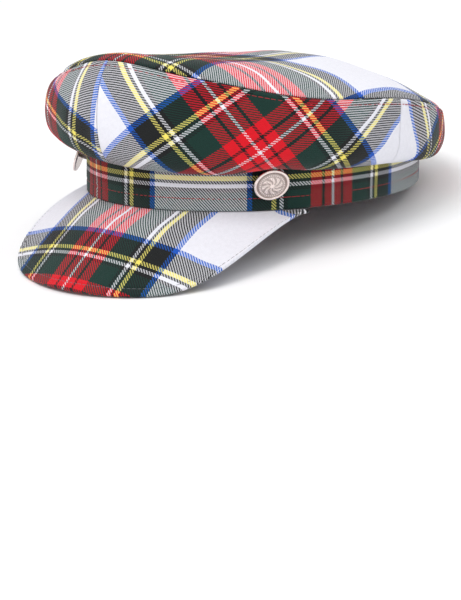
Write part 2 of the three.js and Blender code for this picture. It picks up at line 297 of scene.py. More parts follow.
@dataclass(frozen=True)
class TartanFinish:
    """Twill cloth in a white-ground dress tartan.

    The cloth map holds the place on the cloth in stripe units across and along it,
    counted from the thin white line in the middle of the red.

    Attributes:
        threads_per_unit: threads to a unit of stripe width.
        twill: threads to one repeat of the weave.
        relief: height of a thread above its neighbours, in metres.
        bump: strength of that height.
        painted_gap_shade: strength of the painted shade at the upper thread's edges, where its
            colour is multiplied by the lower thread's.
        yarn_unevenness: how far light and dark patches differ.
        patch_scale: size of the patches.
        patch_detail: how fine they get.
        patch_roughness: how strong the fine ones are.
        roughness: of the cloth.
        sheen: of its fibres.
        specular: of the cloth.
    """

    threads_per_unit: int = 2
    twill: int = 4
    relief: float = 0.00012
    bump: float = 0.7
    painted_gap_shade: float = 1.3
    yarn_unevenness: float = 0.12
    patch_scale: float = 0.35
    patch_detail: float = 3.0
    patch_roughness: float = 0.6
    roughness: float = 0.86
    sheen: float = 0.12
    specular: float = 0.25

    def material(self, name: str) -> bpy.types.Material:
        """Build the cloth's material.

        Args:
            name: the material's name.

        Returns:
            The material.
        """
        material, graph, shader = new_surface(name)
        place = graph.add("ShaderNodeUVMap", {"uv_map": CLOTH_MAP})
        parts = graph.add("ShaderNodeSeparateXYZ", inputs={0: graph.out(place)})
        across = graph.out(parts, "X") * self.threads_per_unit
        along = graph.out(parts, "Y") * self.threads_per_unit
        warp_end = across.floor()
        weft_pick = along.floor()
        over = ((warp_end - weft_pick) % self.twill) < self.twill / 2
        warp = self._yarn_colour(graph, warp_end)
        weft = self._yarn_colour(graph, weft_pick)
        upper = graph.blend(over, weft, warp)
        lower = graph.blend(over, warp, weft)
        warp_round = self._thread_round(across)
        weft_round = self._thread_round(along)
        lies_up = over * warp_round + (1 - over) * weft_round
        # painted shade: towards its edges the upper thread's colour is multiplied by the lower
        # thread's, standing in for the shadow between threads
        edge = (1 - lies_up) * self.painted_gap_shade
        colour = graph.blend(edge, upper, lower, "MULTIPLY")
        shade = 1 + self.yarn_unevenness * self._unevenness(graph, place)
        shaded = graph.blend(1.0, colour, self._grey(graph, shade), "MULTIPLY")
        bump = graph.add(
            "ShaderNodeBump",
            inputs={"Strength": self.bump, "Distance": self.relief, "Height": lies_up},
        )
        inputs = {
            "Base Color": shaded,
            "Normal": graph.out(bump),
            "Roughness": self.roughness,
            "Sheen Weight": self.sheen,
            "Specular IOR Level": self.specular,
        }
        graph.feed(shader, inputs)
        return material

    def _yarn_colour(self, graph: NodeGraph, thread: Signal) -> Signal:
        """The dyed colour of a thread by its number."""
        half = HALF_SETT * self.threads_per_unit
        position = (thread + 0.5).pingpong(half) / half
        stops = []
        start = 0
        for stripe in SETT:
            stops.append((start / HALF_SETT, stripe.yarn.colour))
            start += stripe.width
        ramp = graph.add("ShaderNodeValToRGB", {"stops": stops}, {0: position})
        return graph.out(ramp)

    @staticmethod
    def _thread_round(place: Signal) -> Signal:
        """The height of a thread's round face: 1 on its middle and 0 at its edges."""
        off_middle = abs(place.fraction() * 2 - 1)
        return 1 - off_middle * off_middle

    def _unevenness(self, graph: NodeGraph, place: bpy.types.Node) -> Signal:
        """Soft light and dark patches, about -0.5 to 0.5."""
        patches = graph.add(
            "ShaderNodeTexNoise",
            {"noise_dimensions": "2D"},
            {
                "Vector": graph.out(place),
                "Scale": self.patch_scale,
                "Detail": self.patch_detail,
                "Roughness": self.patch_roughness,
            },
        )
        return graph.out(patches, "Fac") - 0.5

    @staticmethod
    def _grey(graph: NodeGraph, value: Signal) -> Signal:
        """A value as a grey colour."""
        node = graph.add("ShaderNodeCombineColor", inputs={0: value, 1: value, 2: value})
        return graph.out(node)


@dataclass(frozen=True)
class ThreadFinish:
    """Sewing thread with a fine twist.

    Attributes:
        colour: the thread's screen colour.
        roughness: of the thread.
        twist: how close its turns lie.
        twist_detail: how many finer fibres show.
        shadow: the share of the colour that is left between the turns.
    """

    colour: tuple[int, int, int] = (186, 30, 40)
    roughness: float = 0.6
    twist: float = 2600.0
    twist_detail: float = 1.0
    shadow: float = 0.6

    def material(self, name: str) -> bpy.types.Material:
        """Build the thread's material."""
        material, graph, shader = new_surface(name)
        turns = object_noise(graph, self.twist, self.twist_detail)
        base = srgb(*self.colour)
        dark = (*(self.shadow * channel for channel in base[:3]), 1.0)
        colour = graph.blend(turns, dark, base)
        graph.feed(shader, {"Base Color": colour, "Roughness": self.roughness})
        return material


@dataclass(frozen=True)
class MetalFinish:
    """Pale cast metal, bright on its high places and dull in its hollows.

    Attributes:
        bright: the metal's colour where it is rubbed.
        dull: its colour in the hollows.
        smooth: roughness where it is rubbed.
        rough: roughness in the hollows.
        grain: how fine the cast grain is.
        grain_detail: how many finer grains lie on it.
        grain_share: how much the grain changes colour and roughness.
        relief_share: how much the relief does.
        bump: strength of the grain's bump.
        bump_height: its height in metres.
    """

    bright: tuple[int, int, int] = (250, 236, 230)
    dull: tuple[int, int, int] = (96, 78, 74)
    smooth: float = 0.22
    rough: float = 0.5
    grain: float = 1400.0
    grain_detail: float = 2.0
    grain_share: float = 0.25
    relief_share: float = 0.8
    bump: float = 0.25
    bump_height: float = 0.0001

    def material(self, name: str) -> bpy.types.Material:
        """Build the metal's material."""
        material, graph, shader = new_surface(name)
        relief = graph.add("ShaderNodeAttribute", {"attribute_name": RELIEF})
        grain = object_noise(graph, self.grain, self.grain_detail)
        height = graph.out(relief, "Fac") * self.relief_share + grain * self.grain_share
        bump = graph.add(
            "ShaderNodeBump",
            inputs={"Strength": self.bump, "Distance": self.bump_height, "Height": grain},
        )
        inputs = {
            "Base Color": graph.blend(height, srgb(*self.dull), srgb(*self.bright)),
            "Roughness": self.rough - (self.rough - self.smooth) * height,
            "Normal": graph.out(bump),
            "Metallic": 1.0,
        }
        graph.feed(shader, inputs)
        return material


@dataclass(frozen=True)
class PlainFinish:
    """One matt colour, for the floor."""

    colour: tuple[int, int, int] = (250, 250, 251)
    roughness: float = 0.9

    def material(self, name: str) -> bpy.types.Material:
        """Build the plain material."""
        material, graph, shader = new_surface(name)
        graph.feed(shader, {"Base Color": srgb(*self.colour), "Roughness": self.roughness})
        return material


# Places and meshes


@dataclass(frozen=True)
class Placement:
    """Where the cap as it is worn lies in the frame.

    Attributes:
        tip: how far it is tipped back, in radians.
        origin: where the worn cap's zero is, in metres.
    """

    tip: float
    origin: tuple[float, float, float]

    @classmethod
    def from_frame(cls) -> "Placement":
        """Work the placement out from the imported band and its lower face."""
        mounts = {mount["name"]: mount for mount in frame["record"]["mounts"]}
        axis = mounts["back_rim"]["axis"]
        tip = math.atan2(-axis[1], -axis[2])
        low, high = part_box("band")
        middle = [(a + b) / 2 for a, b in zip(low, high)]
        rise = BandShape().height / 2 * METRE
        origin = (
            middle[0],
            middle[1] - rise * math.sin(tip),
            middle[2] - rise * math.cos(tip),
        )
        return cls(tip, origin)

    @property
    def turn(self) -> Array:
        """The turn from the worn cap to the resting one."""
        c, s = math.cos(self.tip), math.sin(self.tip)
        return np.array([[1, 0, 0], [0, c, s], [0, -s, c]])

    def points(self, worn: Array) -> Array:
        """Worn places in millimetres as places in the frame, in metres."""
        return worn @ self.turn.T * METRE + np.array(self.origin)

    def directions(self, worn: Array) -> Array:
        """Worn directions as directions in the frame."""
        return worn @ self.turn.T


def unit(vectors: Array) -> Array:
    """Vectors at length 1."""
    length = np.linalg.norm(vectors, axis=-1, keepdims=True)
    return vectors / np.maximum(length, 1e-12)


def smooth(value: Array) -> Array:
    """0 to 1 with soft ends."""
    value = np.clip(value, 0, 1)
    return value * value * (3 - 2 * value)


def bell(value: Array) -> Array:
    """1 at 0, falling softly to 0 on both sides."""
    return np.exp(-(value**2))


def surface_normals(points: Array, closed: bool = False) -> Array:
    """Normals of a grid of points, from its neighbours along both ways.

    Args:
        points: rows by columns by 3.
        closed: whether the last row goes on to the first.

    Returns:
        Unit normals on the side of rows cross columns.
    """
    if closed:
        wrapped = np.concatenate([points[-1:], points, points[:1]])
        along_rows = (wrapped[2:] - wrapped[:-2]) / 2
    else:
        along_rows = np.gradient(points, axis=0)
    along_columns = np.gradient(points, axis=1)
    return unit(np.cross(along_rows, along_columns))


def run_length(points: Array, axis: int) -> Array:
    """Length along a grid of points from its first row or column."""
    steps = np.linalg.norm(np.diff(points, axis=axis), axis=-1)
    return np.concatenate([np.zeros_like(np.take(steps, [0], axis)), np.cumsum(steps, axis)], axis)


def grid_faces(rows: int, columns: int, closed_rows: bool, closed_columns: bool) -> Array:
    """The quads of a grid, as four point numbers each."""
    i = np.arange(rows if closed_rows else rows - 1)
    j = np.arange(columns if closed_columns else columns - 1)
    i, j = (a.ravel() for a in np.meshgrid(i, j, indexing="ij"))
    i_next, j_next = (i + 1) % rows, (j + 1) % columns
    quad = (i * columns + j, i_next * columns + j, i_next * columns + j_next, i * columns + j_next)
    return np.stack(quad, axis=-1)


def weld(mesh: bpy.types.Mesh, turn_out: bool) -> None:
    """Merge a mesh's doubled points, and turn its faces outwards where asked."""
    work = bmesh.new()
    work.from_mesh(mesh)
    bmesh.ops.remove_doubles(work, verts=work.verts[:], dist=MERGE_DISTANCE)
    if turn_out:
        bmesh.ops.recalc_face_normals(work, faces=work.faces)
    work.to_mesh(mesh)
    work.free()


def add_object(name: str, mesh: bpy.types.Mesh) -> bpy.types.Object:
    """Link a mesh into the scene as an object at the origin."""
    piece = bpy.data.objects.new(name, mesh)
    bpy.context.scene.collection.objects.link(piece)
    return piece


@dataclass
class MeshMaker:
    """Gathers points, faces and cloth places, and makes one mesh of them.

    Attributes:
        placement: where the worn cap lies in the frame.
        points: blocks of worn places.
        faces: blocks of point numbers.
        cloth: blocks of places on the cloth, one for each corner of a face.
        count: how many points there are.
    """

    placement: Placement
    points: list[Array] = field(default_factory=list)
    faces: list[Array] = field(default_factory=list)
    cloth: list[Array] = field(default_factory=list)
    count: int = 0

    def patch(
        self, points: Array, cloth: Array, faces: Array, cloth_faces: Optional[Array] = None
    ) -> int:
        """Add points and faces.

        Args:
            points: any grid of worn places.
            cloth: places on the cloth, one for each number in cloth_faces.
            faces: point numbers within this patch.
            cloth_faces: numbers into cloth for each face's corners, or None for faces.

        Returns:
            The number that this patch's points start at.
        """
        start = self.count
        flat = points.reshape(-1, 3)
        spots = cloth.reshape(-1, 2)
        corners = faces if cloth_faces is None else cloth_faces
        self.points.append(flat)
        self.faces.append(faces + start)
        self.cloth.append(spots[corners])
        self.count += len(flat)
        return start

    def join(self, faces: Array, cloth: Array) -> None:
        """Add faces between points that are already there, with cloth at each corner."""
        self.faces.append(faces)
        self.cloth.append(cloth)

    def mesh(self, name: str, material: bpy.types.Material) -> bpy.types.Mesh:
        """Make one mesh of everything gathered, with its doubled points merged."""
        points = self.placement.points(np.concatenate(self.points))
        faces = [face for block in self.faces for face in block.tolist()]
        corners = [spot for block in self.cloth for face in block.tolist() for spot in face]
        mesh = bpy.data.meshes.new(name)
        mesh.from_pydata(points.tolist(), [], faces)
        layer = mesh.uv_layers.new(name=CLOTH_MAP)
        layer.data.foreach_set("uv", np.array(corners, dtype=np.float32).ravel())
        weld(mesh, turn_out=False)
        mesh.validate()
        mesh.update()
        mesh.shade_smooth()
        mesh.materials.append(material)
        return mesh


def closed_shell(
    maker: MeshMaker, outer: Array, inner: Array, cloth: Array, closed: bool, pole: bool = False
) -> None:
    """Add an outer and an inner grid that share their rims.

    Args:
        maker: takes the points and faces.
        outer: the outer grid, with rows cross columns pointing out.
        inner: the inner grid, of the same size.
        cloth: places on the cloth, with one more row where the grid is closed round.
        closed: whether the last row goes on to the first.
        pole: whether the last column is one point, which every row ends in.
    """
    rows, columns = outer.shape[:2]
    faces = grid_faces(rows, columns, closed, False)
    corners = grid_faces(rows + 1, columns, False, False) if closed else faces
    start_out = maker.patch(outer, cloth, faces, corners)
    start_in = maker.patch(inner, cloth, faces[:, ::-1], corners[:, ::-1])
    spots = cloth.reshape(-1, 2)

    def rim(line: Array, spot_line: Array) -> None:
        """Close the wall along one line of point numbers."""
        a, b = line[:-1], line[1:]
        quads = np.stack([b + start_out, a + start_out, a + start_in, b + start_in], axis=-1)
        p, q = spot_line[:-1], spot_line[1:]
        maker.join(quads, spots[np.stack([q, p, p, q], axis=-1)])

    ring = np.arange(rows) * columns
    ring = np.append(ring, ring[0]) if closed else ring
    spot_ring = np.arange(rows + 1 if closed else rows) * columns
    rim(ring, spot_ring)
    if not pole:
        rim((ring + columns - 1)[::-1], (spot_ring + columns - 1)[::-1])
    if not closed:
        first = np.arange(columns)
        rim(first[::-1], first[::-1])
        rim(first + (rows - 1) * columns, first + (rows - 1) * columns)


# Shapes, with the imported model's own sizes


@dataclass(frozen=True)
class BandShape:
    """The oval band.

    Attributes:
        half_width: of its outer face.
        half_length: of its outer face.
        height: from its lower edge to its upper one.
        wall: its thickness.
        edge_round: radius of its four edges.
    """

    half_width: float = 84.0
    half_length: float = 104.0
    height: float = 24.0
    wall: float = 3.0
    edge_round: float = 0.8

    def outward(self, angle: Array) -> Array:
        """Outward directions of the oval."""
        a = np.radians(angle)
        flat = [np.sin(a) / self.half_width, -np.cos(a) / self.half_length, 0 * a]
        return unit(np.stack(flat, axis=-1))

    def place(self, angle: Array, out: Array, up: Array) -> Array:
        """Places at angles, outward distances and heights."""
        angle, out, up = np.broadcast_arrays(angle, out, up)
        a = np.radians(angle)
        x, y = self.half_width * np.sin(a), -self.half_length * np.cos(a)
        return np.stack([x, y, up + 0.0], axis=-1) + self.outward(angle) * out[..., None]

    def girth(self, out: float) -> Callable[[Array], Array]:
        """Length along the oval at an outward distance, as a function of the angle."""
        angles = np.linspace(-360, 720, 4321)
        points = self.place(angles, out, 0.0)
        lengths = np.concatenate([[0], np.cumsum(np.linalg.norm(np.diff(points, axis=0), axis=-1))])
        lengths -= np.interp(0, angles, lengths)
        return lambda angle: np.interp(angle, angles, lengths)


@dataclass(frozen=True)
class CrownRow:
    """The crown's side at one angle.

    Attributes:
        angle: where this is.
        fold: height of the side's lowest fold.
        bulge_out: how far out its widest place is.
        bulge_up: how high that is.
        seam_out: how far out the top seam is.
        seam_up: how high that is.
        puff: how far the top panel puffs up beside the seam.
    """

    angle: float
    fold: float
    bulge_out: float
    bulge_up: float
    seam_out: float
    seam_up: float
    puff: float


CROWN_ROWS = (
    CrownRow(0, 23, 21, 47, 12, 78, 4),
    CrownRow(30, 20.5, 21, 44, 15.5, 71, 6.3),
    CrownRow(60, 21, 20, 40, 19, 60.5, 3.5),
    CrownRow(90, 20, 18, 35.5, 18, 56, 2),
    CrownRow(120, 15.5, 14.5, 32, 13, 44.5, 0),
    CrownRow(150, 12, 13, 30, 10, 35, 5.5),
    CrownRow(180, 11.5, 13, 29, 10.5, 35, 7.4),
    CrownRow(210, 13, 14, 29, 11.5, 38, 7.3),
    CrownRow(240, 16, 16, 32, 13, 45, 5.5),
    CrownRow(270, 20, 18.5, 36, 13.5, 52.5, 3.8),
    CrownRow(300, 24, 21, 41, 13.5, 60, 2.2),
    CrownRow(330, 27, 22, 45, 12.5, 67, 6.2),
)


@dataclass(frozen=True)
class ButtonSeat:
    """Where a button hangs on the band.

    Attributes:
        angle: where it hangs.
        out: how far its face stands out from the band.
        up: height of its middle.
        tip: how far it looks up, in degrees.
        lift: how far it lifts the crown's fold.
    """

    angle: float
    out: float
    up: float
    tip: float
    lift: float


BUTTON_LEFT = ButtonSeat(angle=51.5, out=7.4, up=14, tip=-27, lift=2)
BUTTON_RIGHT = ButtonSeat(angle=-51.9, out=7.7, up=16, tip=18, lift=3)


@dataclass(frozen=True)
class CrownShape:
    """The crown's side and top panel.

    Each side is three curves: the drop from the band to the fold, the swell from there
    to the bulge and the rise to the top seam.

    Attributes:
        band: the band that carries the crown.
        wall: thickness of the cloth.
        fold_out: how far out the fold is.
        foot_out: how far the drop first runs outwards.
        foot_down: how far it falls meanwhile.
        foot_clearance: how far the crown's foot stands off the band.
        fold_in: how far the drop runs in to the fold at its end.
        swell_out: how flat the swell starts, as a share of its width.
        swell_up: how upright it ends, as a share of its height.
        rise_up: how upright the rise starts, as a share of its height.
        rise_out: how far it still leans out at its end, as a share of its whole lean in.
        rise_extra: and in millimetres on top of that.
        rise_down: how steeply it ends, as a share of its height.
        dome_up: height of the top's middle.
        roundness: how long the dome stays flat before it falls to the seam.
        middle_y: where the top's middle is.
        tilt_x: how far the dome rises to the left.
        tilt_y: how far it rises to the back.
        bow_x: how it bows up from side to side.
        bow_y: how it bows up from front to back.
        puff_at: where the top puffs up most, as a share of the way in.
        lift_width: how wide a button lifts the fold, in degrees.
    """

    band: BandShape = BandShape()
    wall: float = 1.4
    fold_out: float = 6.5
    foot_out: float = 1.6
    foot_down: float = 0.3
    foot_clearance: float = 0.35
    fold_in: float = 4.4
    swell_out: float = 0.66
    swell_up: float = 0.6
    rise_up: float = 0.55
    rise_out: float = 0.5
    rise_extra: float = 1.0
    rise_down: float = 0.22
    dome_up: float = 73.2
    roundness: float = 2.16
    middle_y: float = 4.0
    tilt_x: float = 0.036
    tilt_y: float = -0.041
    bow_x: float = 0.00046
    bow_y: float = -0.00078
    puff_at: float = 0.147
    lift_width: float = 9.0

    def value(self, column: str, angle: Array) -> Array:
        """A column of the crown's rows at any angle, by a smooth closed curve."""
        table = np.array([getattr(row, column) for row in CROWN_ROWS])
        count = len(table)
        turns = np.mod(angle, 360) / (360 / count)
        row = np.floor(turns).astype(int) % count
        f = turns - np.floor(turns)
        a, b, c, d = (table[(row + step) % count] for step in (-1, 0, 1, 2))
        cubic = (3 * b - a - 3 * c + d) * f**3 + (2 * a - 5 * b + 4 * c - d) * f**2
        return 0.5 * (cubic + (c - a) * f + 2 * b)

    def lift(self, angle: Array) -> Array:
        """How far the fold is lifted where it lies over a button."""
        total = np.zeros_like(angle, dtype=float)
        for seat in (BUTTON_LEFT, BUTTON_RIGHT):
            apart = np.mod(angle - seat.angle + 540, 360) - 180
            total = total + seat.lift * bell(apart / self.lift_width)
        return total

    def side(self, angle: Array, along: Array) -> Array:
        """The crown's side; along runs 0 to 3 over the drop, the swell and the rise."""
        angle, along = np.broadcast_arrays(np.asarray(angle, float), np.asarray(along, float))
        fold = self.value("fold", angle) + self.lift(angle)
        bulge_out, bulge_up = self.value("bulge_out", angle), self.value("bulge_up", angle)
        seam_out, seam_up = self.value("seam_out", angle), self.value("seam_up", angle)
        swell, width, rise = bulge_up - fold, bulge_out - self.fold_out, seam_up - bulge_up
        overhang = self.rise_out * (bulge_out - seam_out) + self.rise_extra
        zero = 0 * fold
        top = zero + self.band.height
        foot = zero + self.foot_clearance
        low = zero + self.fold_out
        curves = (
            (
                (foot, top),
                (foot + self.foot_out, top - self.foot_down),
                (low - self.fold_in, fold),
                (low, fold),
            ),
            (
                (low, fold),
                (low + self.swell_out * width, fold),
                (bulge_out, bulge_up - self.swell_up * swell),
                (bulge_out, bulge_up),
            ),
            (
                (bulge_out, bulge_up),
                (bulge_out, bulge_up + self.rise_up * rise),
                (seam_out + overhang, seam_up - self.rise_down * rise),
                (seam_out, seam_up),
            ),
        )
        which = np.clip(np.floor(along), 0, 2).astype(int)
        t = along - which
        out = up = zero
        for k, curve in enumerate(curves):
            weights = ((1 - t) ** 3, 3 * t * (1 - t) ** 2, 3 * t * t * (1 - t), t**3)
            here_out = sum(w * p[0] for w, p in zip(weights, curve))
            here_up = sum(w * p[1] for w, p in zip(weights, curve))
            out = np.where(which == k, here_out, out)
            up = np.where(which == k, here_up, up)
        return self.band.place(angle, out, up)

    def top(self, angle: Array, reach: Array) -> Array:
        """The top panel: reach is 0 in the middle and 1 at the seam."""
        angle, reach = np.broadcast_arrays(np.asarray(angle, float), np.asarray(reach, float))
        edge = self.side(angle, np.full(angle.shape, 3.0))
        middle = np.stack([0 * reach, 0 * reach + self.middle_y, edge[..., 2]], axis=-1)
        points = middle + (edge - middle) * reach[..., None]
        x, y = points[..., 0], points[..., 1] - self.middle_y
        dome = self.dome_up + self.tilt_x * x + self.tilt_y * y
        dome = dome + self.bow_x * x**2 + self.bow_y * y**2
        inside = (1 - reach) / self.puff_at
        puff = self.value("puff", angle) * inside * np.exp(1 - inside)
        points[..., 2] = dome + (edge[..., 2] - dome) * reach**self.roundness + puff
        return points


@dataclass(frozen=True)
class PeakShape:
    """The stiff curved peak.

    Attributes:
        band: the band that carries the peak.
        half_angle: how far round the band each end is.
        length: from the band to the edge in the middle.
        end_sharpness: how long the peak keeps its length towards its ends.
        end_power: how round its outline then turns in.
        front_lean: how far it points to the front instead of outwards, as a share.
        droop: its slope in degrees, and how that changes by the side's square and fourth.
        bend: how far it bends down from the band to the edge, in degrees.
        wall: its thickness.
        gap: how far it hangs below the band.
        tip: how much of the half angle the peak reaches.
    """

    band: BandShape = BandShape()
    half_angle: float = 64.35
    length: float = 60.0
    end_sharpness: float = 7.05
    end_power: float = 1 / 1.04
    front_lean: float = 0.82
    droop: tuple[float, float, float] = (38.4, 1.2, -28.0)
    bend: float = 10.0
    wall: float = 2.4
    gap: float = 0.3
    tip: float = 0.998

    def reach(self, side: Array) -> Array:
        """How long the peak is at a place round the band, from -1 to 1."""
        return self.length * np.maximum(0, 1 - np.abs(side) ** self.end_sharpness) ** self.end_power

    def upper(self, side: Array, along: Array) -> Array:
        """The peak's upper face: side runs -1 to 1, along 0 to 1 from band to edge."""
        side, along = np.broadcast_arrays(np.asarray(side, float), np.asarray(along, float))
        angle = side * self.half_angle
        length = self.reach(side)
        ahead = self.band.outward(angle) * (1 - self.front_lean)
        ahead[..., 1] -= self.front_lean
        ahead = unit(ahead)
        droop = self.droop[0] + self.droop[1] * side**2 + self.droop[2] * side**4
        bend = math.radians(self.bend)
        start = np.radians(droop) - bend / 2
        chord = math.sin(bend / 2) / (bend / 2)
        forward = (np.sin(start + bend * along) - np.sin(start)) / (bend * chord)
        down = (np.cos(start) - np.cos(start + bend * along)) / (bend * chord)
        points = self.band.place(angle, 0.0, -self.gap * (1 - along))
        points = points + ahead * (length * forward)[..., None]
        points[..., 2] -= length * down
        return points


# Cloth details


@dataclass(frozen=True)
class CutLayout:
    """How a panel is laid on the cloth before it is cut.

    Attributes:
        warp: the stripe unit at the panel's own zero, across the cloth.
        weft: the same along the cloth.
        warp_turn: the way across the cloth, in degrees from the panel's first axis.
        weft_turn: the way along the cloth, likewise.
        warp_ease: how much closer than flat the stripes across lie once sewn.
        weft_ease: the same along the cloth.
    """

    warp: float
    weft: float
    warp_turn: float
    weft_turn: float
    warp_ease: float = 1.0
    weft_ease: float = 1.0

    def spots(self, across: Array, up: Array) -> Array:
        """Places on the cloth in stripe units, from panel distances in millimetres."""
        columns = []
        for start, turn, ease in (
            (self.warp, self.warp_turn, self.warp_ease),
            (self.weft, self.weft_turn, self.weft_ease),
        ):
            a = math.radians(turn)
            columns.append(start + ease * (across * math.cos(a) + up * math.sin(a)) / UNIT)
        return np.stack(columns, axis=-1)


@dataclass(frozen=True)
class SeamRoll:
    """How cloth rolls in and thins towards a seam.

    Attributes:
        reach: how far from the seam it starts.
        depth: how far the face lies in at the seam.
        edge_wall: how thick the cloth is there.
    """

    reach: float = 2.2
    depth: float = 0.75
    edge_wall: float = 0.35

    def dip(self, distance: Array) -> Array:
        """How far the face lies in at a distance from the seam."""
        x = np.clip(1 - distance / self.reach, 0, 1)
        return self.depth * (1 - np.sqrt(1 - x * x))

    def wall(self, distance: Array, full: float) -> Array:
        """How thick the cloth is at a distance from the seam."""
        return self.edge_wall + (full - self.edge_wall) * smooth(distance / self.reach)


@dataclass(frozen=True)
class StitchGroove:
    """The shallow groove and puckers that a row of topstitching pulls in.

    Attributes:
        distance: of the row from the edge that it follows.
        depth: of the groove.
        width: of the groove, half of it on each side.
        pucker: height of the puckers.
        pucker_length: from one pucker to the next.
        pucker_spread: how far they reach, in groove widths.
        wander: how far they stray from an even spacing, in radians.
        wander_length: over which they stray.
    """

    distance: float
    depth: float = 0.3
    width: float = 0.8
    pucker: float = 0.12
    pucker_length: float = 7.0
    pucker_spread: float = 3.2
    wander: float = 1.3
    wander_length: float = 11.0

    def dip(self, distance: Array, along: Array) -> Array:
        """How far the face lies in.

        Args:
            distance: millimetres from the edge that the row follows.
            along: millimetres along that edge.

        Returns:
            The depth in millimetres.
        """
        groove = bell((distance - self.distance) / self.width)
        stray = self.wander * np.sin(along / self.wander_length)
        wave = np.sin(2 * np.pi * along / self.pucker_length + stray)
        spread = bell((distance - self.distance) / (self.pucker_spread * self.width))
        return self.depth * groove + self.pucker * wave * spread


@dataclass(frozen=True)
class Wave:
    """One slow wave of soft cloth.

    Attributes:
        height: of the wave.
        first: radians for each step the first way.
        second: radians for each step the second way.
        start: radians at zero.
    """

    height: float
    first: float
    second: float
    start: float = 0.0

    def at(self, first: Array, second: Array) -> Array:
        """The wave's height at places."""
        return self.height * np.sin(self.first * first + self.second * second + self.start)


def crowded(start: float, end: float, count: int, close: float = 2.2) -> Array:
    """Numbers from start to end that crowd towards both ends."""
    t = np.linspace(-1, 1, count)
    bent = np.sign(t) * (1 - (1 - np.abs(t)) ** close)
    return start + (end - start) * (bent + 1) / 2


# Stitching


THREAD_SIDES = 6
# how far a stitch's ends sink in, in thread radii
ENDS_SUNK = 0.9
# how many places round the cap a row of stitches is laid through
ROUND_PLACES = 720


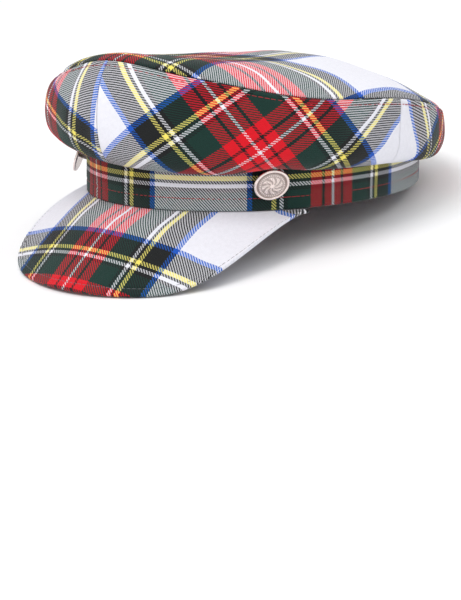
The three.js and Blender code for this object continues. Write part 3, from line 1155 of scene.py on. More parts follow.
@dataclass(frozen=True)
class StitchRow:
    """A row of stitches along a path, made by a node tree.

    Attributes:
        pitch: from one stitch to the next, in millimetres.
        length: of one stitch.
        thickness: of the thread.
        rise: how far a stitch's middle stands above the cloth.
        unevenness: how far the stitches' lengths differ, as a share.
        seed: of the random draws.
    """

    pitch: float = 3.4
    length: float = 2.5
    thickness: float = 0.36
    rise: float = 0.1
    unevenness: float = 0.08
    seed: int = 4

    def sizes(self) -> dict[str, Union[float, int]]:
        """The row's sizes by the names of the tree's inputs."""
        return {
            "Stitch Pitch": self.pitch * METRE,
            "Stitch Length": self.length * METRE,
            "Thread Thickness": self.thickness * METRE,
            "Stitch Rise": self.rise * METRE,
            "Unevenness": self.unevenness,
            "Seed": self.seed,
        }

    def tree(self, material: bpy.types.Material) -> bpy.types.NodeTree:
        """The node tree that lays stitches along a path of edges."""
        tree = bpy.data.node_groups.new("stitch_row", "GeometryNodeTree")
        for way in ("INPUT", "OUTPUT"):
            tree.interface.new_socket("Geometry", in_out=way, socket_type="NodeSocketGeometry")
        for name, default in self.sizes().items():
            kind = "NodeSocketInt" if isinstance(default, int) else "NodeSocketFloat"
            socket = tree.interface.new_socket(name, in_out="INPUT", socket_type=kind)
            socket.default_value = default
        graph = NodeGraph(tree)
        given = graph.add("NodeGroupInput")
        result = graph.add("NodeGroupOutput")
        path = graph.add("GeometryNodeMeshToCurve", inputs={"Mesh": given.outputs["Geometry"]})
        points = graph.add(
            "GeometryNodeResampleCurve",
            {"mode": "LENGTH"},
            {"Curve": path.outputs[0], "Length": given.outputs["Stitch Pitch"]},
        )
        facing = graph.add(
            "GeometryNodeInputNamedAttribute", {"data_type": "FLOAT_VECTOR"}, {"Name": FACING}
        )
        tangent = graph.add("GeometryNodeInputTangent")
        turn = graph.add(
            "FunctionNodeAxesToRotation",
            {"primary_axis": "Z", "secondary_axis": "X"},
            {0: facing.outputs[0], 1: tangent.outputs[0]},
        )
        stitch = self._stitch(graph, given)
        size = graph.add(
            "FunctionNodeRandomValue",
            {"data_type": "FLOAT_VECTOR"},
            {
                "Min": self._vector(graph, 1 - graph.out(given, "Unevenness")),
                "Max": self._vector(graph, 1 + graph.out(given, "Unevenness")),
                "Seed": given.outputs["Seed"],
            },
        )
        laid = graph.add(
            "GeometryNodeInstanceOnPoints",
            inputs={
                "Points": points.outputs[0],
                "Instance": stitch,
                "Rotation": turn.outputs[0],
                "Scale": size.outputs[0],
            },
        )
        real = graph.add("GeometryNodeRealizeInstances", inputs={"Geometry": laid.outputs[0]})
        dyed = graph.add(
            "GeometryNodeSetMaterial", inputs={"Geometry": real.outputs[0], "Material": material}
        )
        tree.links.new(dyed.outputs[0], result.inputs[0])
        return tree

    @staticmethod
    def _vector(graph: NodeGraph, length: Signal) -> bpy.types.NodeSocket:
        """A scale that changes the length and nothing else."""
        node = graph.add("ShaderNodeCombineXYZ", inputs={0: length, 1: 1.0, 2: 1.0})
        return node.outputs[0]

    @staticmethod
    def _stitch(graph: NodeGraph, given: bpy.types.Node) -> bpy.types.NodeSocket:
        """One stitch: a short thread that rises in its middle and sinks in at its ends."""
        half = graph.out(given, "Stitch Length") * 0.5
        rise = graph.out(given, "Stitch Rise")
        radius = graph.out(given, "Thread Thickness") * 0.5
        sunk = 0 - radius * ENDS_SUNK

        def point(x: Number, z: Number) -> bpy.types.NodeSocket:
            """A point in the stitch's own upright plane."""
            return graph.add("ShaderNodeCombineXYZ", inputs={0: x, 1: 0.0, 2: z}).outputs[0]

        line = graph.add(
            "GeometryNodeCurveQuadraticBezier",
            inputs={
                "Resolution": THREAD_SIDES,
                "Start": point(0 - half, sunk),
                "Middle": point(half * 0.0, rise * 2 + radius),
                "End": point(half, sunk),
            },
        )
        round_profile = graph.add(
            "GeometryNodeCurvePrimitiveCircle",
            inputs={"Resolution": THREAD_SIDES, "Radius": radius},
        )
        thread = graph.add(
            "GeometryNodeCurveToMesh",
            inputs={
                "Curve": line.outputs[0],
                "Profile Curve": round_profile.outputs[0],
                "Fill Caps": True,
            },
        )
        return thread.outputs[0]

    def sew(
        self,
        name: str,
        placement: Placement,
        path: Array,
        facing: Array,
        closed: bool,
        material: bpy.types.Material,
    ) -> bpy.types.Object:
        """Lay the row along a path and turn it into a plain mesh.

        Args:
            name: the piece's name.
            placement: where the worn cap lies in the frame.
            path: worn places along the row.
            facing: the cloth's outward direction at each place.
            closed: whether the row goes all the way round.
            material: the thread's.

        Returns:
            The stitches as one object.
        """
        count = len(path)
        ends = np.arange(count if closed else count - 1)
        edges = np.stack([ends, (ends + 1) % count], axis=-1)
        guide = bpy.data.meshes.new(name + "_path")
        guide.from_pydata(placement.points(path).tolist(), edges.tolist(), [])
        attribute = guide.attributes.new(FACING, "FLOAT_VECTOR", "POINT")
        attribute.data.foreach_set("vector", placement.directions(facing).ravel())
        holder = add_object(name + "_path", guide)
        modifier = holder.modifiers.new("stitches", "NODES")
        modifier.node_group = self.tree(material)
        sizes = self.sizes()
        for item in modifier.node_group.interface.items_tree:
            if item.in_out == "INPUT" and item.name in sizes:
                modifier[item.identifier] = sizes[item.name]
        evaluated = holder.evaluated_get(bpy.context.evaluated_depsgraph_get())
        mesh = bpy.data.meshes.new_from_object(evaluated)
        mesh.name = name
        bpy.data.objects.remove(holder)
        mesh.shade_smooth()
        if not mesh.materials:
            mesh.materials.append(material)
        return add_object(name, mesh)


# The cap's sub-assemblies


class Quarter(Enum):
    """The four side panels: where each starts and ends, in degrees."""

    FRONT_LEFT = (0.0, 90.0)
    BACK_LEFT = (90.0, 180.0)
    BACK_RIGHT = (180.0, 270.0)
    FRONT_RIGHT = (270.0, 360.0)

    @property
    def node(self) -> str:
        """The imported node's name."""
        return "crown_quarter_" + self.name.lower()


QUARTER_CUTS = {
    Quarter.FRONT_LEFT: CutLayout(-103.0, -45.9, -47.1, 43.3, 1.05, 0.93),
    Quarter.BACK_LEFT: CutLayout(235.6, 238.5, 136.8, -151.7, 0.92, 0.97),
    Quarter.BACK_RIGHT: CutLayout(25.0, -65.0, -45.0, 45.0, 0.95, 0.95),
    Quarter.FRONT_RIGHT: CutLayout(-54.2, -110.2, 175.0, -120.4, 0.93, 1.42),
}


@dataclass
class Crown:
    """The soft crown: four side quarters, a top panel and their topstitching.

    Attributes:
        placement: where the worn cap lies in the frame.
        cloth: the tartan.
        thread: the thread of its stitches.
        shape: its sizes.
        seam: how the cloth rolls in at its seams.
        groove: the groove of the topstitching.
        stitches: the topstitching.
        gap: between two quarters along their seam.
        columns: points across a quarter.
        side_rows: points up its drop, its swell and its rise.
        row_crowding: how much the points crowd towards the top seam.
        top_rings: points from the top's seam to its middle.
        top_spokes: points round the top.
        ring_crowding: how much the rings crowd towards the seam.
        panel_line: outward distance of the line that a quarter's width is taken along.
        seam_blend: how far from a seam the cloth turns into the seam's own way.
        side_seam: how deep the side seams are, as a share of the top seam.
        groove_end: how near the side seams the stitches' groove ends.
        side_waves: slow unevenness by the angle in radians and the height.
        still_seam: how far from a seam the waves come up to their full height.
        still_foot: how far up from the band the cloth is pulled smooth.
        still_fade: over which distance the waves then come up.
        top_waves: slow unevenness of the top by x and y.
        still_top: how far from its seam they come up to their full height.
        pucker: height of the top's puckers beside its seam.
        pucker_length: from one of them to the next.
        pucker_start: where they start, in radians.
        pucker_in: how far from the seam they are.
        pucker_width: how wide they are.
        stitch_search: part of the side that the stitches' height is looked for in, and
            in how many steps.
        top_cut: how the top panel is laid on the cloth.
    """

    placement: Placement
    cloth: bpy.types.Material
    thread: bpy.types.Material
    shape: CrownShape = CrownShape()
    seam: SeamRoll = SeamRoll()
    groove: StitchGroove = StitchGroove(distance=3.2)
    stitches: StitchRow = StitchRow()
    gap: float = 0.3
    columns: int = 120
    side_rows: tuple[int, int, int] = (12, 26, 34)
    row_crowding: float = 1.6
    top_rings: int = 56
    top_spokes: int = 420
    ring_crowding: float = 1.5
    panel_line: float = 17.0
    seam_blend: float = 3.0
    side_seam: float = 0.8
    groove_end: float = 2.0
    side_waves: tuple[Wave, ...] = (
        Wave(0.5, 7, 1 / 19.0),
        Wave(0.35, 13, -1 / 13.0, 1.1),
        Wave(0.18, 29, 1 / 6.5, 0.7),
        Wave(0.12, 41, -1 / 5.0),
    )
    still_seam: float = 9.0
    still_foot: float = 12.0
    still_fade: float = 16.0
    top_waves: tuple[Wave, ...] = (
        Wave(0.5, 1 / 17.0, 1 / 29.0),
        Wave(0.4, 1 / 23.0, -1 / 15.0, 0.9),
        Wave(0.2, 1 / 7.0, 1 / 9.0),
    )
    still_top: float = 12.0
    pucker: float = 0.25
    pucker_length: float = 23.0
    pucker_start: float = 0.8
    pucker_in: float = 4.5
    pucker_width: float = 3.0
    stitch_search: tuple[float, float, int] = (2.2, 3.0, 160)
    top_cut: CutLayout = CutLayout(90.2, -6.5, 87.9, 184.6, 0.985, 0.985)

    def stations(self) -> Array:
        """Places up the side, from 0 at the foot to 3 at the top seam."""
        drop, swell, rise = self.side_rows
        low = np.linspace(0, 1, drop, endpoint=False)
        middle = np.linspace(1, 2, swell, endpoint=False)
        t = np.linspace(0, 1, rise)
        high = 3 - (1 - t) ** self.row_crowding
        return np.concatenate([low, middle, high])

    def seam_way(self, angle: Array) -> Array:
        """Outward direction halfway between the side and the top at their seam."""
        turn, step = 0.05, 0.01

        def normal(surface: Callable[[Array, Array], Array], at: float) -> Array:
            """One surface's normal at its edge."""
            du = surface(angle + turn, at) - surface(angle - turn, at)
            dv = surface(angle, at) - surface(angle, at - step)
            return unit(np.cross(du, dv))

        side = normal(self.shape.side, 3.0)
        top = normal(self.shape.top, 1.0)
        return unit(side + np.where(top[..., 2:] > 0, top, -top))

    def bent_to_seam(self, normal: Array, angle: Array, distance: Array) -> Array:
        """Normals that turn into the seam's own way close to it."""
        near = smooth(1 - distance / self.seam_blend)[..., None]
        return unit(normal + (self.seam_way(angle) - normal) * near)

    def quarter(self, part: Quarter) -> bpy.types.Object:
        """One side quarter as a rolled, closed sheet of cloth."""
        start, end = part.value
        trim = math.degrees(self.gap / 2 / self.shape.band.half_length)
        angle = crowded(start + trim, end - trim, self.columns)[:, None]
        along = self.stations()[None, :]
        face = self.shape.side(angle, along)
        normal = surface_normals(face)
        up_run = run_length(face, 1)
        below_seam = up_run[:, -1:] - up_run
        from_start = run_length(face, 0)
        from_end = from_start[-1:] - from_start
        girth = self.shape.band.girth(self.panel_line)(angle)
        sides = np.minimum(from_start, from_end)
        to_seam = np.minimum(below_seam, sides)
        waves = sum(wave.at(np.radians(angle), -below_seam) for wave in self.side_waves)
        waves = waves * smooth(to_seam / self.still_seam)
        waves = waves * smooth((up_run - self.still_foot) / self.still_fade)
        way = self.bent_to_seam(normal, angle, below_seam)
        dip = np.maximum(self.seam.dip(below_seam), self.seam.dip(sides) * self.side_seam)
        dip = dip + self.groove.dip(below_seam, girth) * smooth(sides / self.groove_end) - waves
        outer = face - way * dip[..., None]
        wall = self.seam.wall(to_seam, self.shape.wall)
        inner = outer - way * wall[..., None]
        run = self.panel_run(part, angle) + 0 * below_seam
        cloth = QUARTER_CUTS[part].spots(run, -below_seam)
        maker = MeshMaker(self.placement)
        closed_shell(maker, outer, inner, cloth, closed=False)
        name = part.node + "_cloth"
        piece = add_object(name, maker.mesh(name, self.cloth))
        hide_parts(part.node)
        return piece

    def panel_run(self, part: Quarter, angle: Array) -> Array:
        """Distance round the crown, negative on the wearer's right."""
        run = self.shape.band.girth(self.panel_line)
        return run(angle - 360) if part is Quarter.FRONT_RIGHT else run(angle)

    def top(self) -> bpy.types.Object:
        """The top panel as one closed sheet with a closed middle."""
        edge = 1 - self.gap / self.shape.band.half_width
        t = np.linspace(0, 1, self.top_rings)
        reach = edge * (1 - t**self.ring_crowding)
        reach[-1] = 0
        angle = np.arange(self.top_spokes) * 360 / self.top_spokes
        face = self.shape.top(angle[:, None], reach[None, :])
        normal = surface_normals(face, closed=True)
        normal[:, -1] = unit(normal[:, -2].mean(axis=0))
        inward = run_length(face, 1)
        girth = self.shape.band.girth(self.panel_line)(angle)[:, None]
        way = self.bent_to_seam(normal, angle[:, None], inward)
        puckers = np.sin(2 * np.pi * girth / self.pucker_length + self.pucker_start)
        puckers = puckers * bell((inward - self.pucker_in) / self.pucker_width)
        waves = sum(wave.at(face[..., 0], face[..., 1]) for wave in self.top_waves)
        waves = waves * smooth(inward / self.still_top)
        dip = self.seam.dip(inward) + self.pucker * puckers - waves
        outer = face - way * dip[..., None]
        wall = self.seam.wall(inward, self.shape.wall)
        inner = outer - way * wall[..., None]
        outer[:, -1] = outer[:, -1].mean(axis=0)
        inner[:, -1] = outer[0, -1] - np.array([0, 0, self.shape.wall])
        from_middle = inward[:, -1:] - inward
        spoke = unit(face[:, 0, :2] - np.array([0, self.shape.middle_y]))[:, None]
        cloth = self.top_cut.spots(from_middle * spoke[..., 0], from_middle * spoke[..., 1])
        cloth = np.concatenate([cloth, cloth[:1]])
        maker = MeshMaker(self.placement)
        closed_shell(maker, outer, inner, cloth, closed=True, pole=True)
        mesh = maker.mesh("crown_top_cloth", self.cloth)
        piece = add_object("crown_top_cloth", mesh)
        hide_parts("crown_top")
        return piece

    def topstitching(self) -> bpy.types.Object:
        """Dashed stitches on the quarters, just below the top seam."""
        angle = np.linspace(0, 360, ROUND_PLACES, endpoint=False)
        rows = np.linspace(*self.stitch_search)
        face = self.shape.side(angle[:, None], rows[None, :])
        run = run_length(face, 1)
        below = run[:, -1:] - run
        column = np.argmin(np.abs(below - self.groove.distance), axis=1)
        normal = surface_normals(face, closed=True)
        pick = np.arange(len(angle))
        facing = normal[pick, column]
        girth = self.shape.band.girth(self.panel_line)(angle)
        dip = self.groove.dip(np.full(len(angle), self.groove.distance), girth)
        path = face[pick, column] - facing * dip[:, None]
        return self.stitches.sew(
            "crown_topstitching", self.placement, path, facing, True, self.thread
        )

    def build(self) -> list[bpy.types.Object]:
        """Make every piece of the crown."""
        pieces = [self.quarter(part) for part in Quarter]
        pieces.append(self.top())
        row = self.topstitching()
        pieces.append(row)
        return pieces


@dataclass
class Band:
    """The band with its row of stitching.

    Attributes:
        placement: where the worn cap lies in the frame.
        cloth: the tartan.
        thread: the thread of its stitches.
        shape: its sizes.
        groove: the groove of the stitching.
        stitches: the row of stitching.
        columns: points round the band.
        face_rows: points up its outer face.
        corner_rows: points round each of its rounded edges.
        pivot_run: where the pattern's middle lies, from the front, in millimetres.
        low_edge: the stripe unit at the lower edge.
        pull: how far the cloth is pulled round near the left button.
        pull_run: where that pull is greatest.
        pull_width: how wide it is.
        swell: slow unevenness of its outer face by the length round it and the height.
    """

    placement: Placement
    cloth: bpy.types.Material
    thread: bpy.types.Material
    shape: BandShape = BandShape()
    groove: StitchGroove = StitchGroove(
        distance=6.6, depth=0.22, width=0.7, pucker=0.06, pucker_length=6.0
    )
    stitches: StitchRow = StitchRow(pitch=2.7, length=2.3, thickness=0.36, rise=0.08, seed=9)
    columns: int = 480
    face_rows: int = 34
    corner_rows: int = 6
    pivot_run: float = -28.0
    low_edge: float = 17.4
    pull: float = 3.2
    pull_run: float = 78.0
    pull_width: float = 26.0
    swell: Wave = Wave(0.12, 1 / 9.0, 1 / 5.0)

    def section(self) -> tuple[Array, Array, Array]:
        """The band's section, going up the outer face and down the inner one.

        Returns:
            Outward distances, heights and lengths along the section.
        """
        r, height = self.shape.edge_round, self.shape.height
        corner = np.linspace(0, np.pi / 2, self.corner_rows)
        sine, cosine = r * np.sin(corner), r * np.cos(corner)
        up = np.linspace(r, height - r, self.face_rows)[1:-1]
        out_outer = np.concatenate([sine - r, 0 * up, cosine - r])
        up_outer = np.concatenate([r - cosine, up, height - r + sine])
        out = np.concatenate([out_outer, (-self.shape.wall - out_outer)[::-1]])
        high = np.concatenate([up_outer, up_outer[::-1]])
        steps = np.hypot(np.diff(out), np.diff(high))
        return out, high, np.concatenate([[0], np.cumsum(steps)])

    def build(self) -> list[bpy.types.Object]:
        """Make the band's cloth and its stitches."""
        out, high, run = self.section()
        angle = -180 + np.arange(self.columns) * 360 / self.columns
        girth = self.shape.girth(0.0)
        lengths = girth(angle)[:, None]
        on_face = (out > -self.shape.wall / 2)[None, :]
        dip = self.groove.dip(high[None, :], lengths) * on_face
        swell = self.swell.at(lengths, high[None, :]) * on_face
        level = high[None, :] + 0 * lengths
        points = self.shape.place(angle[:, None], out[None, :] - dip + swell, level)
        rows, columns = points.shape[:2]
        faces = grid_faces(rows, columns, True, True)
        ends = np.append(angle, 180.0)
        near = bell((girth(ends) - self.pull_run) / self.pull_width)
        across = (girth(ends) + self.pull * near - self.pivot_run)[:, None] / UNIT
        last = run[-1] + self.shape.wall - 2 * self.shape.edge_round
        spots_up = self.low_edge + np.append(run, last)[None, :] / UNIT + 0 * across
        cloth = np.stack([spots_up, 0 * spots_up - across], axis=-1)
        corners = grid_faces(rows + 1, columns + 1, False, False)
        maker = MeshMaker(self.placement)
        maker.patch(points, cloth, faces, corners)
        piece = add_object("band_cloth", maker.mesh("band_cloth", self.cloth))
        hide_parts("band")
        turn = np.linspace(0, 360, ROUND_PLACES, endpoint=False)
        level = self.groove.distance
        depth = self.groove.dip(np.full(len(turn), level), girth(turn))
        path = self.shape.place(turn, -depth, np.full(len(turn), level))
        row = self.stitches.sew(
            "band_stitching", self.placement, path, self.shape.outward(turn), True, self.thread
        )
        return [piece, row]


@dataclass
class Peak:
    """The stiff peak, covered with cloth that wraps over its edge.

    Attributes:
        placement: where the worn cap lies in the frame.
        cloth: the tartan.
        thread: the thread of its stitches.
        shape: its sizes.
        groove: the groove of the edge stitching.
        stitches: the edge stitching.
        columns: points from one end of the peak to the other.
        rows: points from the band to the edge.
        row_crowding: how much they crowd towards the edge.
        edge_thickness: half the thickness that is left at the edge.
        groove_end: how near the edge the stitches' groove ends.
        cut: how the cloth is laid.
        band_curve: how the stripes across bend back with the band.
        lip: how far the peak goes in under the band.
        corner_curve: how far they bend back further at the corners.
        corner: how far to the side the corners are.
        tail: how far they bend back further still at the left end, under the band.
        tail_start: how far to the side that begins.
        tail_run: over which distance it comes up.
        tail_reach: how far from the band it fades.
        pull: how far the stripes along are pulled sideways where they meet the band.
        pull_reach: how far from the band that fades.
        pull_width: how far from the middle it fades.
    """

    placement: Placement
    cloth: bpy.types.Material
    thread: bpy.types.Material
    shape: PeakShape = PeakShape()
    groove: StitchGroove = StitchGroove(
        distance=4.6, depth=0.3, width=0.7, pucker=0.05, pucker_length=5.0
    )
    stitches: StitchRow = StitchRow(pitch=2.9, length=2.4, thickness=0.26, rise=0.05, seed=12)
    columns: int = 261
    rows: int = 64
    row_crowding: float = 1.7
    edge_thickness: float = 0.05
    groove_end: float = 1.5
    cut: CutLayout = CutLayout(0.0, -77.6, 0.0, -90.0)
    band_curve: float = 0.0046
    lip: float = 2.0
    corner_curve: float = 8.0
    corner: float = 75.0
    tail: float = 9.8
    tail_start: float = 50.0
    tail_run: float = 22.0
    tail_reach: float = 34.0
    pull: float = 4.5
    pull_reach: float = 9.0
    pull_width: float = 45.0

    def build(self) -> list[bpy.types.Object]:
        """Make the peak's cloth and its edge stitching."""
        side = crowded(-self.shape.tip, self.shape.tip, self.columns)
        along = 1 - (1 - np.linspace(0, 1, self.rows)) ** self.row_crowding
        face = self.shape.upper(side[:, None], along[None, :])
        under = self.shape.band.outward(side * self.shape.half_angle)[:, None] * self.lip
        face = np.concatenate([face[:, :1] - under, face], axis=1)
        normal = surface_normals(face)
        normal = np.where(normal[..., 2:] > 0, normal, -normal)
        run = run_length(face, 1)
        to_edge = run[:, -1:] - run
        edge_run = run_length(face[:, -1:], 0)
        half_wall = self.shape.wall / 2
        x = np.clip(1 - to_edge / half_wall, 0, 1)
        thick = np.maximum(half_wall * np.sqrt(1 - x * x), self.edge_thickness)
        thick[:, 0] = half_wall
        dip = self.groove.dip(to_edge, edge_run) * smooth(to_edge / self.groove_end)
        outer = face - normal * (half_wall - thick + dip)[..., None]
        inner = face - normal * (half_wall + thick)[..., None]
        cloth = self.spots(face)
        maker = MeshMaker(self.placement)
        closed_shell(maker, outer[::-1], inner[::-1], cloth[::-1], closed=False)
        piece = add_object("peak_cloth", maker.mesh("peak_cloth", self.cloth))
        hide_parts("peak")
        row = self.edge_stitching(face, normal, to_edge, edge_run)
        return [piece, row]

    def spots(self, face: Array) -> Array:
        """Places on the cloth, which is pulled sideways where it goes under the band."""
        run = run_length(face, 1) - self.lip
        x = face[..., 0]
        near = bell(run / self.pull_reach) * bell(x / self.pull_width)
        at_end = smooth((x - self.tail_start) / self.tail_run) * bell((run / self.tail_reach) ** 2)
        back = self.band_curve * x**2 + self.corner_curve * (x / self.corner) ** 6
        back = back + self.tail * at_end
        return self.cut.spots(x - self.pull * near, back - run)

    def edge_stitching(
        self, face: Array, normal: Array, to_edge: Array, edge_run: Array
    ) -> bpy.types.Object:
        """Stitches in the groove along the peak's edge."""
        long_enough = to_edge[:, 0] > self.groove.distance + 1
        column = np.argmin(np.abs(to_edge - self.groove.distance), axis=1)
        pick = np.arange(len(column))
        dip = self.groove.dip(to_edge[pick, column], edge_run[:, 0])
        path = face[pick, column] - normal[pick, column] * dip[:, None]
        return self.stitches.sew(
            "peak_stitching",
            self.placement,
            path[long_enough],
            normal[pick, column][long_enough],
            False,
            self.thread,
        )


@dataclass(frozen=True)
class Rosette:
    """The button's ornament: turned petals with veins, a round heart and a ring of beads.

    Radii are shares of the ornament's own.

    Attributes:
        petals: how many.
        turn: how far they turn from side to side, in radians.
        turn_waves: how often they do.
        veins: how many.
        vein_slant: how far they run round, in radians.
        reach: radius of the petals.
        heart: radius of the heart.
        beads: how many.
        bead_ring: radius of their ring.
        bead_half: half its width.
        height: of the relief, in millimetres.
    """

    petals: int = 8
    turn: float = 2.2
    turn_waves: float = 6.0
    veins: int = 24
    vein_slant: float = 9.0
    reach: float = 0.8
    heart: float = 0.2
    beads: int = 36
    bead_ring: float = 0.9
    bead_half: float = 0.075
    height: float = 0.38

    def relief(self, share: Array, angle: Array) -> Array:
        """0 in the hollows to 1 on the heights, at shares of the radius and angles."""
        turned = self.petals * angle + self.turn * np.sin(self.turn_waves * share)
        petals = smooth(0.9 + 1.1 * np.cos(turned))
        veins = smooth(0.8 + 1.2 * np.cos(self.veins * angle - self.vein_slant * share))
        petals = petals * (0.5 + 0.5 * veins) * smooth((self.reach - share) / 0.06)
        heart = smooth((self.heart - share) / 0.05)
        ring = smooth((self.bead_half - np.abs(share - self.bead_ring)) / 0.04)
        beads = smooth(0.7 + np.cos(self.beads * angle)) * ring
        return np.clip(np.maximum(np.maximum(petals, heart), beads), 0, 1)


@dataclass
class Button:
    """A cast button with a rolled rim, hung on a wire loop.

    Attributes:
        name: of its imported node.
        seat: where it hangs.
        placement: where the worn cap lies in the frame.
        metal: of the button and the loop.
        band: the band that carries it.
        ornament: on its face.
        radius: of the whole button.
        rim: half the thickness of the rolled rim.
        groove: width of the groove inside the rim.
        middle: how far the face stands above the rim's middle.
        back: how far the back lies behind it.
        loop_radius: of the wire loop.
        wire: half the wire's thickness.
        spokes: points round the button.
        face_rings: points from its middle to the groove.
        rim_points: points over the rim.
        loop_points: points round the loop.
        wire_points: points round the wire.
        groove_shine: how bright the metal is in the groove.
        face_shine: the same in the ornament's hollows.
        rim_shine: the same on the rim and the back.
        loop_shine: the same on the loop.
    """

    name: str
    seat: ButtonSeat
    placement: Placement
    metal: bpy.types.Material
    band: BandShape = BandShape()
    radius: float = 9.6
    rim: float = 0.85
    groove: float = 0.7
    middle: float = 1.2
    back: float = 0.6
    loop_radius: float = 2.9
    wire: float = 0.7
    ornament: Rosette = Rosette()
    spokes: int = 216
    face_rings: int = 44
    rim_points: int = 22
    loop_points: int = 48
    wire_points: int = 14
    groove_shine: float = 0.1
    face_shine: float = 0.35
    rim_shine: float = 0.95
    loop_shine: float = 0.25

    def axes(self) -> tuple[Array, Array]:
        """The button's own axes and the middle of its face, as worn."""
        angle = np.array(self.seat.angle)
        tip = math.radians(self.seat.tip)
        face = self.band.outward(angle) * math.cos(tip)
        face[2] = math.sin(tip)
        across = unit(np.cross([0, 0, 1], face))
        upwards = np.cross(face, across)
        middle = self.band.place(angle, np.array(self.seat.out), np.array(self.seat.up))
        return np.stack([across, upwards, face]), middle

    def disc(self) -> bpy.types.Object:
        """The button's face, rim and back, as one turned shape with relief."""
        inner = self.radius - 2 * self.rim - self.groove
        face_radius = np.linspace(0, inner, self.face_rings)
        dome = -self.middle / 2 * (face_radius / inner) ** 2
        groove_radius = np.array([inner + 0.35 * self.groove, inner + 0.55 * self.groove])
        groove_up = np.array([-self.middle * 0.95, -self.middle])
        turn = np.linspace(np.pi, -np.pi / 2, self.rim_points)
        rim_radius = self.radius - self.rim + self.rim * np.cos(turn)
        rim_up = -self.middle + self.rim * np.sin(turn)
        back_radius = np.array([self.radius / 2, 0.0])
        back_up = np.array([-self.back - self.middle, -self.back - self.middle])
        radius = np.concatenate([face_radius, groove_radius, rim_radius, back_radius])[None, :]
        up = np.concatenate([dome, groove_up, rim_up, back_up])
        angle = (np.arange(self.spokes) * 2 * np.pi / self.spokes)[:, None]
        on_face = (np.arange(len(up)) < self.face_rings)[None, :]
        high = self.ornament.relief(radius / inner, angle) * on_face
        lift = up[None, :] + self.ornament.height * high
        local = np.stack([radius * np.cos(angle), radius * np.sin(angle), lift], axis=-1)
        face_shine = self.face_shine + (1 - self.face_shine) * high
        shine = np.where(on_face, face_shine, self.rim_shine)
        shine[:, self.face_rings : self.face_rings + len(groove_up)] = self.groove_shine
        return self._turned(self.name + "_face", local, shine, True)

    def loop(self) -> bpy.types.Object:
        """The wire loop behind the button."""
        around = (np.arange(self.loop_points) * 2 * np.pi / self.loop_points)[:, None]
        section = (np.arange(self.wire_points) * 2 * np.pi / self.wire_points)[None, :]
        ring = self.loop_radius + self.wire * np.cos(section)
        behind = self.back + self.middle + self.loop_radius - self.wire
        across = self.wire * np.sin(section) + 0 * around
        local = np.stack([ring * np.cos(around), across, ring * np.sin(around) - behind], axis=-1)
        shine = np.full(local.shape[:2], self.loop_shine)
        return self._turned(self.name + "_loop", local, shine, False)

    def _turned(self, name: str, local: Array, shine: Array, poles: bool) -> bpy.types.Object:
        """Make a mesh of a grid in the button's own axes.

        Args:
            name: the piece's name.
            local: spokes by columns of places.
            shine: how bright the metal is at each place.
            poles: whether the first and last columns are single points.

        Returns:
            The piece.
        """
        axes, middle = self.axes()
        points = self.placement.points((local @ axes + middle).reshape(-1, 3))
        rows, columns = local.shape[:2]
        mesh = bpy.data.meshes.new(name)
        faces = grid_faces(rows, columns, True, not poles)
        mesh.from_pydata(points.tolist(), [], faces.tolist())
        relief = mesh.attributes.new(RELIEF, "FLOAT", "POINT")
        relief.data.foreach_set("value", shine.ravel())
        weld(mesh, turn_out=True)
        mesh.shade_smooth()
        mesh.materials.append(self.metal)
        piece = add_object(name, mesh)
        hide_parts(self.name)
        return piece

    def build(self) -> list[bpy.types.Object]:
        """Make the button's face and loop."""
        return [self.disc(), self.loop()]


# The studio


@dataclass(frozen=True)
class PhotoCamera:
    """The photograph's camera, given about the worn cap.

    Attributes:
        azimuth: degrees round the cap from its front towards its left.
        elevation: degrees above the band's plane.
        roll: degrees.
        distance: millimetres from the band's middle.
        scale: pixels for each millimetre at that distance.
        band_pixel: where the band's middle is in the image.
        image: the image's size in pixels.
        sensor: the camera's sensor height in millimetres.
    """

    azimuth: float = 41.92
    elevation: float = 12.514
    roll: float = 0.085
    distance: float = 1200.0
    scale: float = 1.77255
    band_pixel: tuple[float, float] = (255.37, 181.9)
    image: tuple[int, int] = (461, 600)
    sensor: float = 36.0

    def build(self, placement: Placement) -> None:
        """Add the camera and look through it."""
        a, e = math.radians(self.azimuth), math.radians(self.elevation)
        back = np.array([math.sin(a) * math.cos(e), -math.cos(a) * math.cos(e), math.sin(e)])
        right = unit(np.cross([0, 0, 1], back))
        up = np.cross(back, right)
        turn = math.radians(self.roll)
        right, up = (
            right * math.cos(turn) + up * math.sin(turn),
            up * math.cos(turn) - right * math.sin(turn),
        )
        aside = (self.band_pixel[0] - self.image[0] / 2) / self.scale
        below = (self.image[1] / 2 - self.band_pixel[1]) / self.scale
        position = back * self.distance - right * aside - up * below
        data = bpy.data.cameras.new("photo_camera")
        data.sensor_fit = "VERTICAL"
        data.sensor_height = self.sensor
        data.lens = self.scale * self.distance * self.sensor / self.image[1]
        data.clip_end = 50
        camera = bpy.data.objects.new("photo_camera", data)
        bpy.context.scene.collection.objects.link(camera)
        axes = placement.directions(np.stack([right, up, back]))
        matrix = Matrix([list(column) for column in axes.T]).to_4x4()
        matrix.translation = Vector(placement.points(position))
        camera.matrix_world = matrix
        bpy.context.scene.camera = camera


@dataclass(frozen=True)
class SoftLight:
    """One large soft lamp that looks at the cap.

    Attributes:
        name: of the lamp.
        place: where it hangs, in metres.
        size: its width in metres.
        power: in watts.
        aim: what it looks at.
    """

    name: str
    place: tuple[float, float, float]
    size: float
    power: float
    aim: tuple[float, float, float] = (0.0, 0.0, 0.06)

    def build(self) -> None:
        """Add the lamp."""
        data = bpy.data.lights.new(self.name, "AREA")
        data.shape = "DISK"
        data.size = self.size
        data.energy = self.power
        lamp = bpy.data.objects.new(self.name, data)
        lamp.location = self.place
        way = Vector(self.aim) - Vector(self.place)
        lamp.rotation_euler = way.to_track_quat("-Z", "Y").to_euler()
        bpy.context.scene.collection.objects.link(lamp)


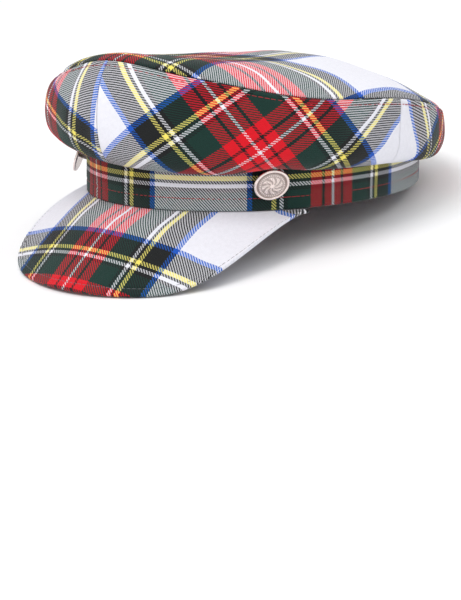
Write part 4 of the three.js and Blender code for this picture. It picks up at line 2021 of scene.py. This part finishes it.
@dataclass(frozen=True)
class Studio:
    """A pale floor, even light all round and soft lamps.

    Attributes:
        floor_half: half the floor's width, in metres.
        daylight: strength of the light all round.
        lamps: the soft lamps.
    """

    floor_half: float = 6.0
    daylight: float = 0.73
    lamps: tuple[SoftLight, ...] = (
        SoftLight("key_lamp", (1.2, -0.9, 1.6), 1.2, 5.0),
        SoftLight("fill_lamp", (0.1, -1.1, 2.2), 1.4, 26.0),
        SoftLight("back_lamp", (0.6, 1.7, 1.5), 1.2, 6.0),
    )

    def build(self) -> None:
        """Add the floor, the world's light and the lamps."""
        h = self.floor_half
        mesh = bpy.data.meshes.new("floor")
        mesh.from_pydata([(-h, -h, 0), (h, -h, 0), (h, h, 0), (-h, h, 0)], [], [(0, 1, 2, 3)])
        mesh.materials.append(PlainFinish().material("floor_paper"))
        add_object("floor", mesh)
        world = bpy.data.worlds.new("studio")
        world.use_nodes = True
        background = world.node_tree.nodes["Background"]
        background.inputs["Color"].default_value = (1.0, 1.0, 1.0, 1.0)
        background.inputs["Strength"].default_value = self.daylight
        bpy.context.scene.world = world
        bpy.context.scene.view_settings.view_transform = "Standard"
        for lamp in self.lamps:
            lamp.build()


def main() -> None:
    """Build the whole cap and its studio."""
    logging.basicConfig(level=logging.INFO, format="%(name)s: %(message)s")
    placement = Placement.from_frame()
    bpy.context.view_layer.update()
    PhotoCamera().build(placement)
    Studio().build()
    tartan = TartanFinish()
    thread = ThreadFinish().material("red_sewing_thread")
    edge_thread = ThreadFinish((116, 116, 124)).material("grey_sewing_thread")
    metal = MetalFinish().material("pale_cast_metal")
    assemblies = (
        Crown(placement, tartan.material("crown_tartan_twill"), thread),
        Band(placement, tartan.material("band_tartan_twill"), thread),
        Peak(placement, tartan.material("peak_tartan_twill"), edge_thread),
        Button("button_left", BUTTON_LEFT, placement, metal),
        Button("button_right", BUTTON_RIGHT, placement, metal),
    )
    for assembly in assemblies:
        for piece in assembly.build():
            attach(piece, "root")
            LOG.info("%s: %d faces", piece.name, len(piece.data.polygons))


if __name__ == "__main__":
    main()
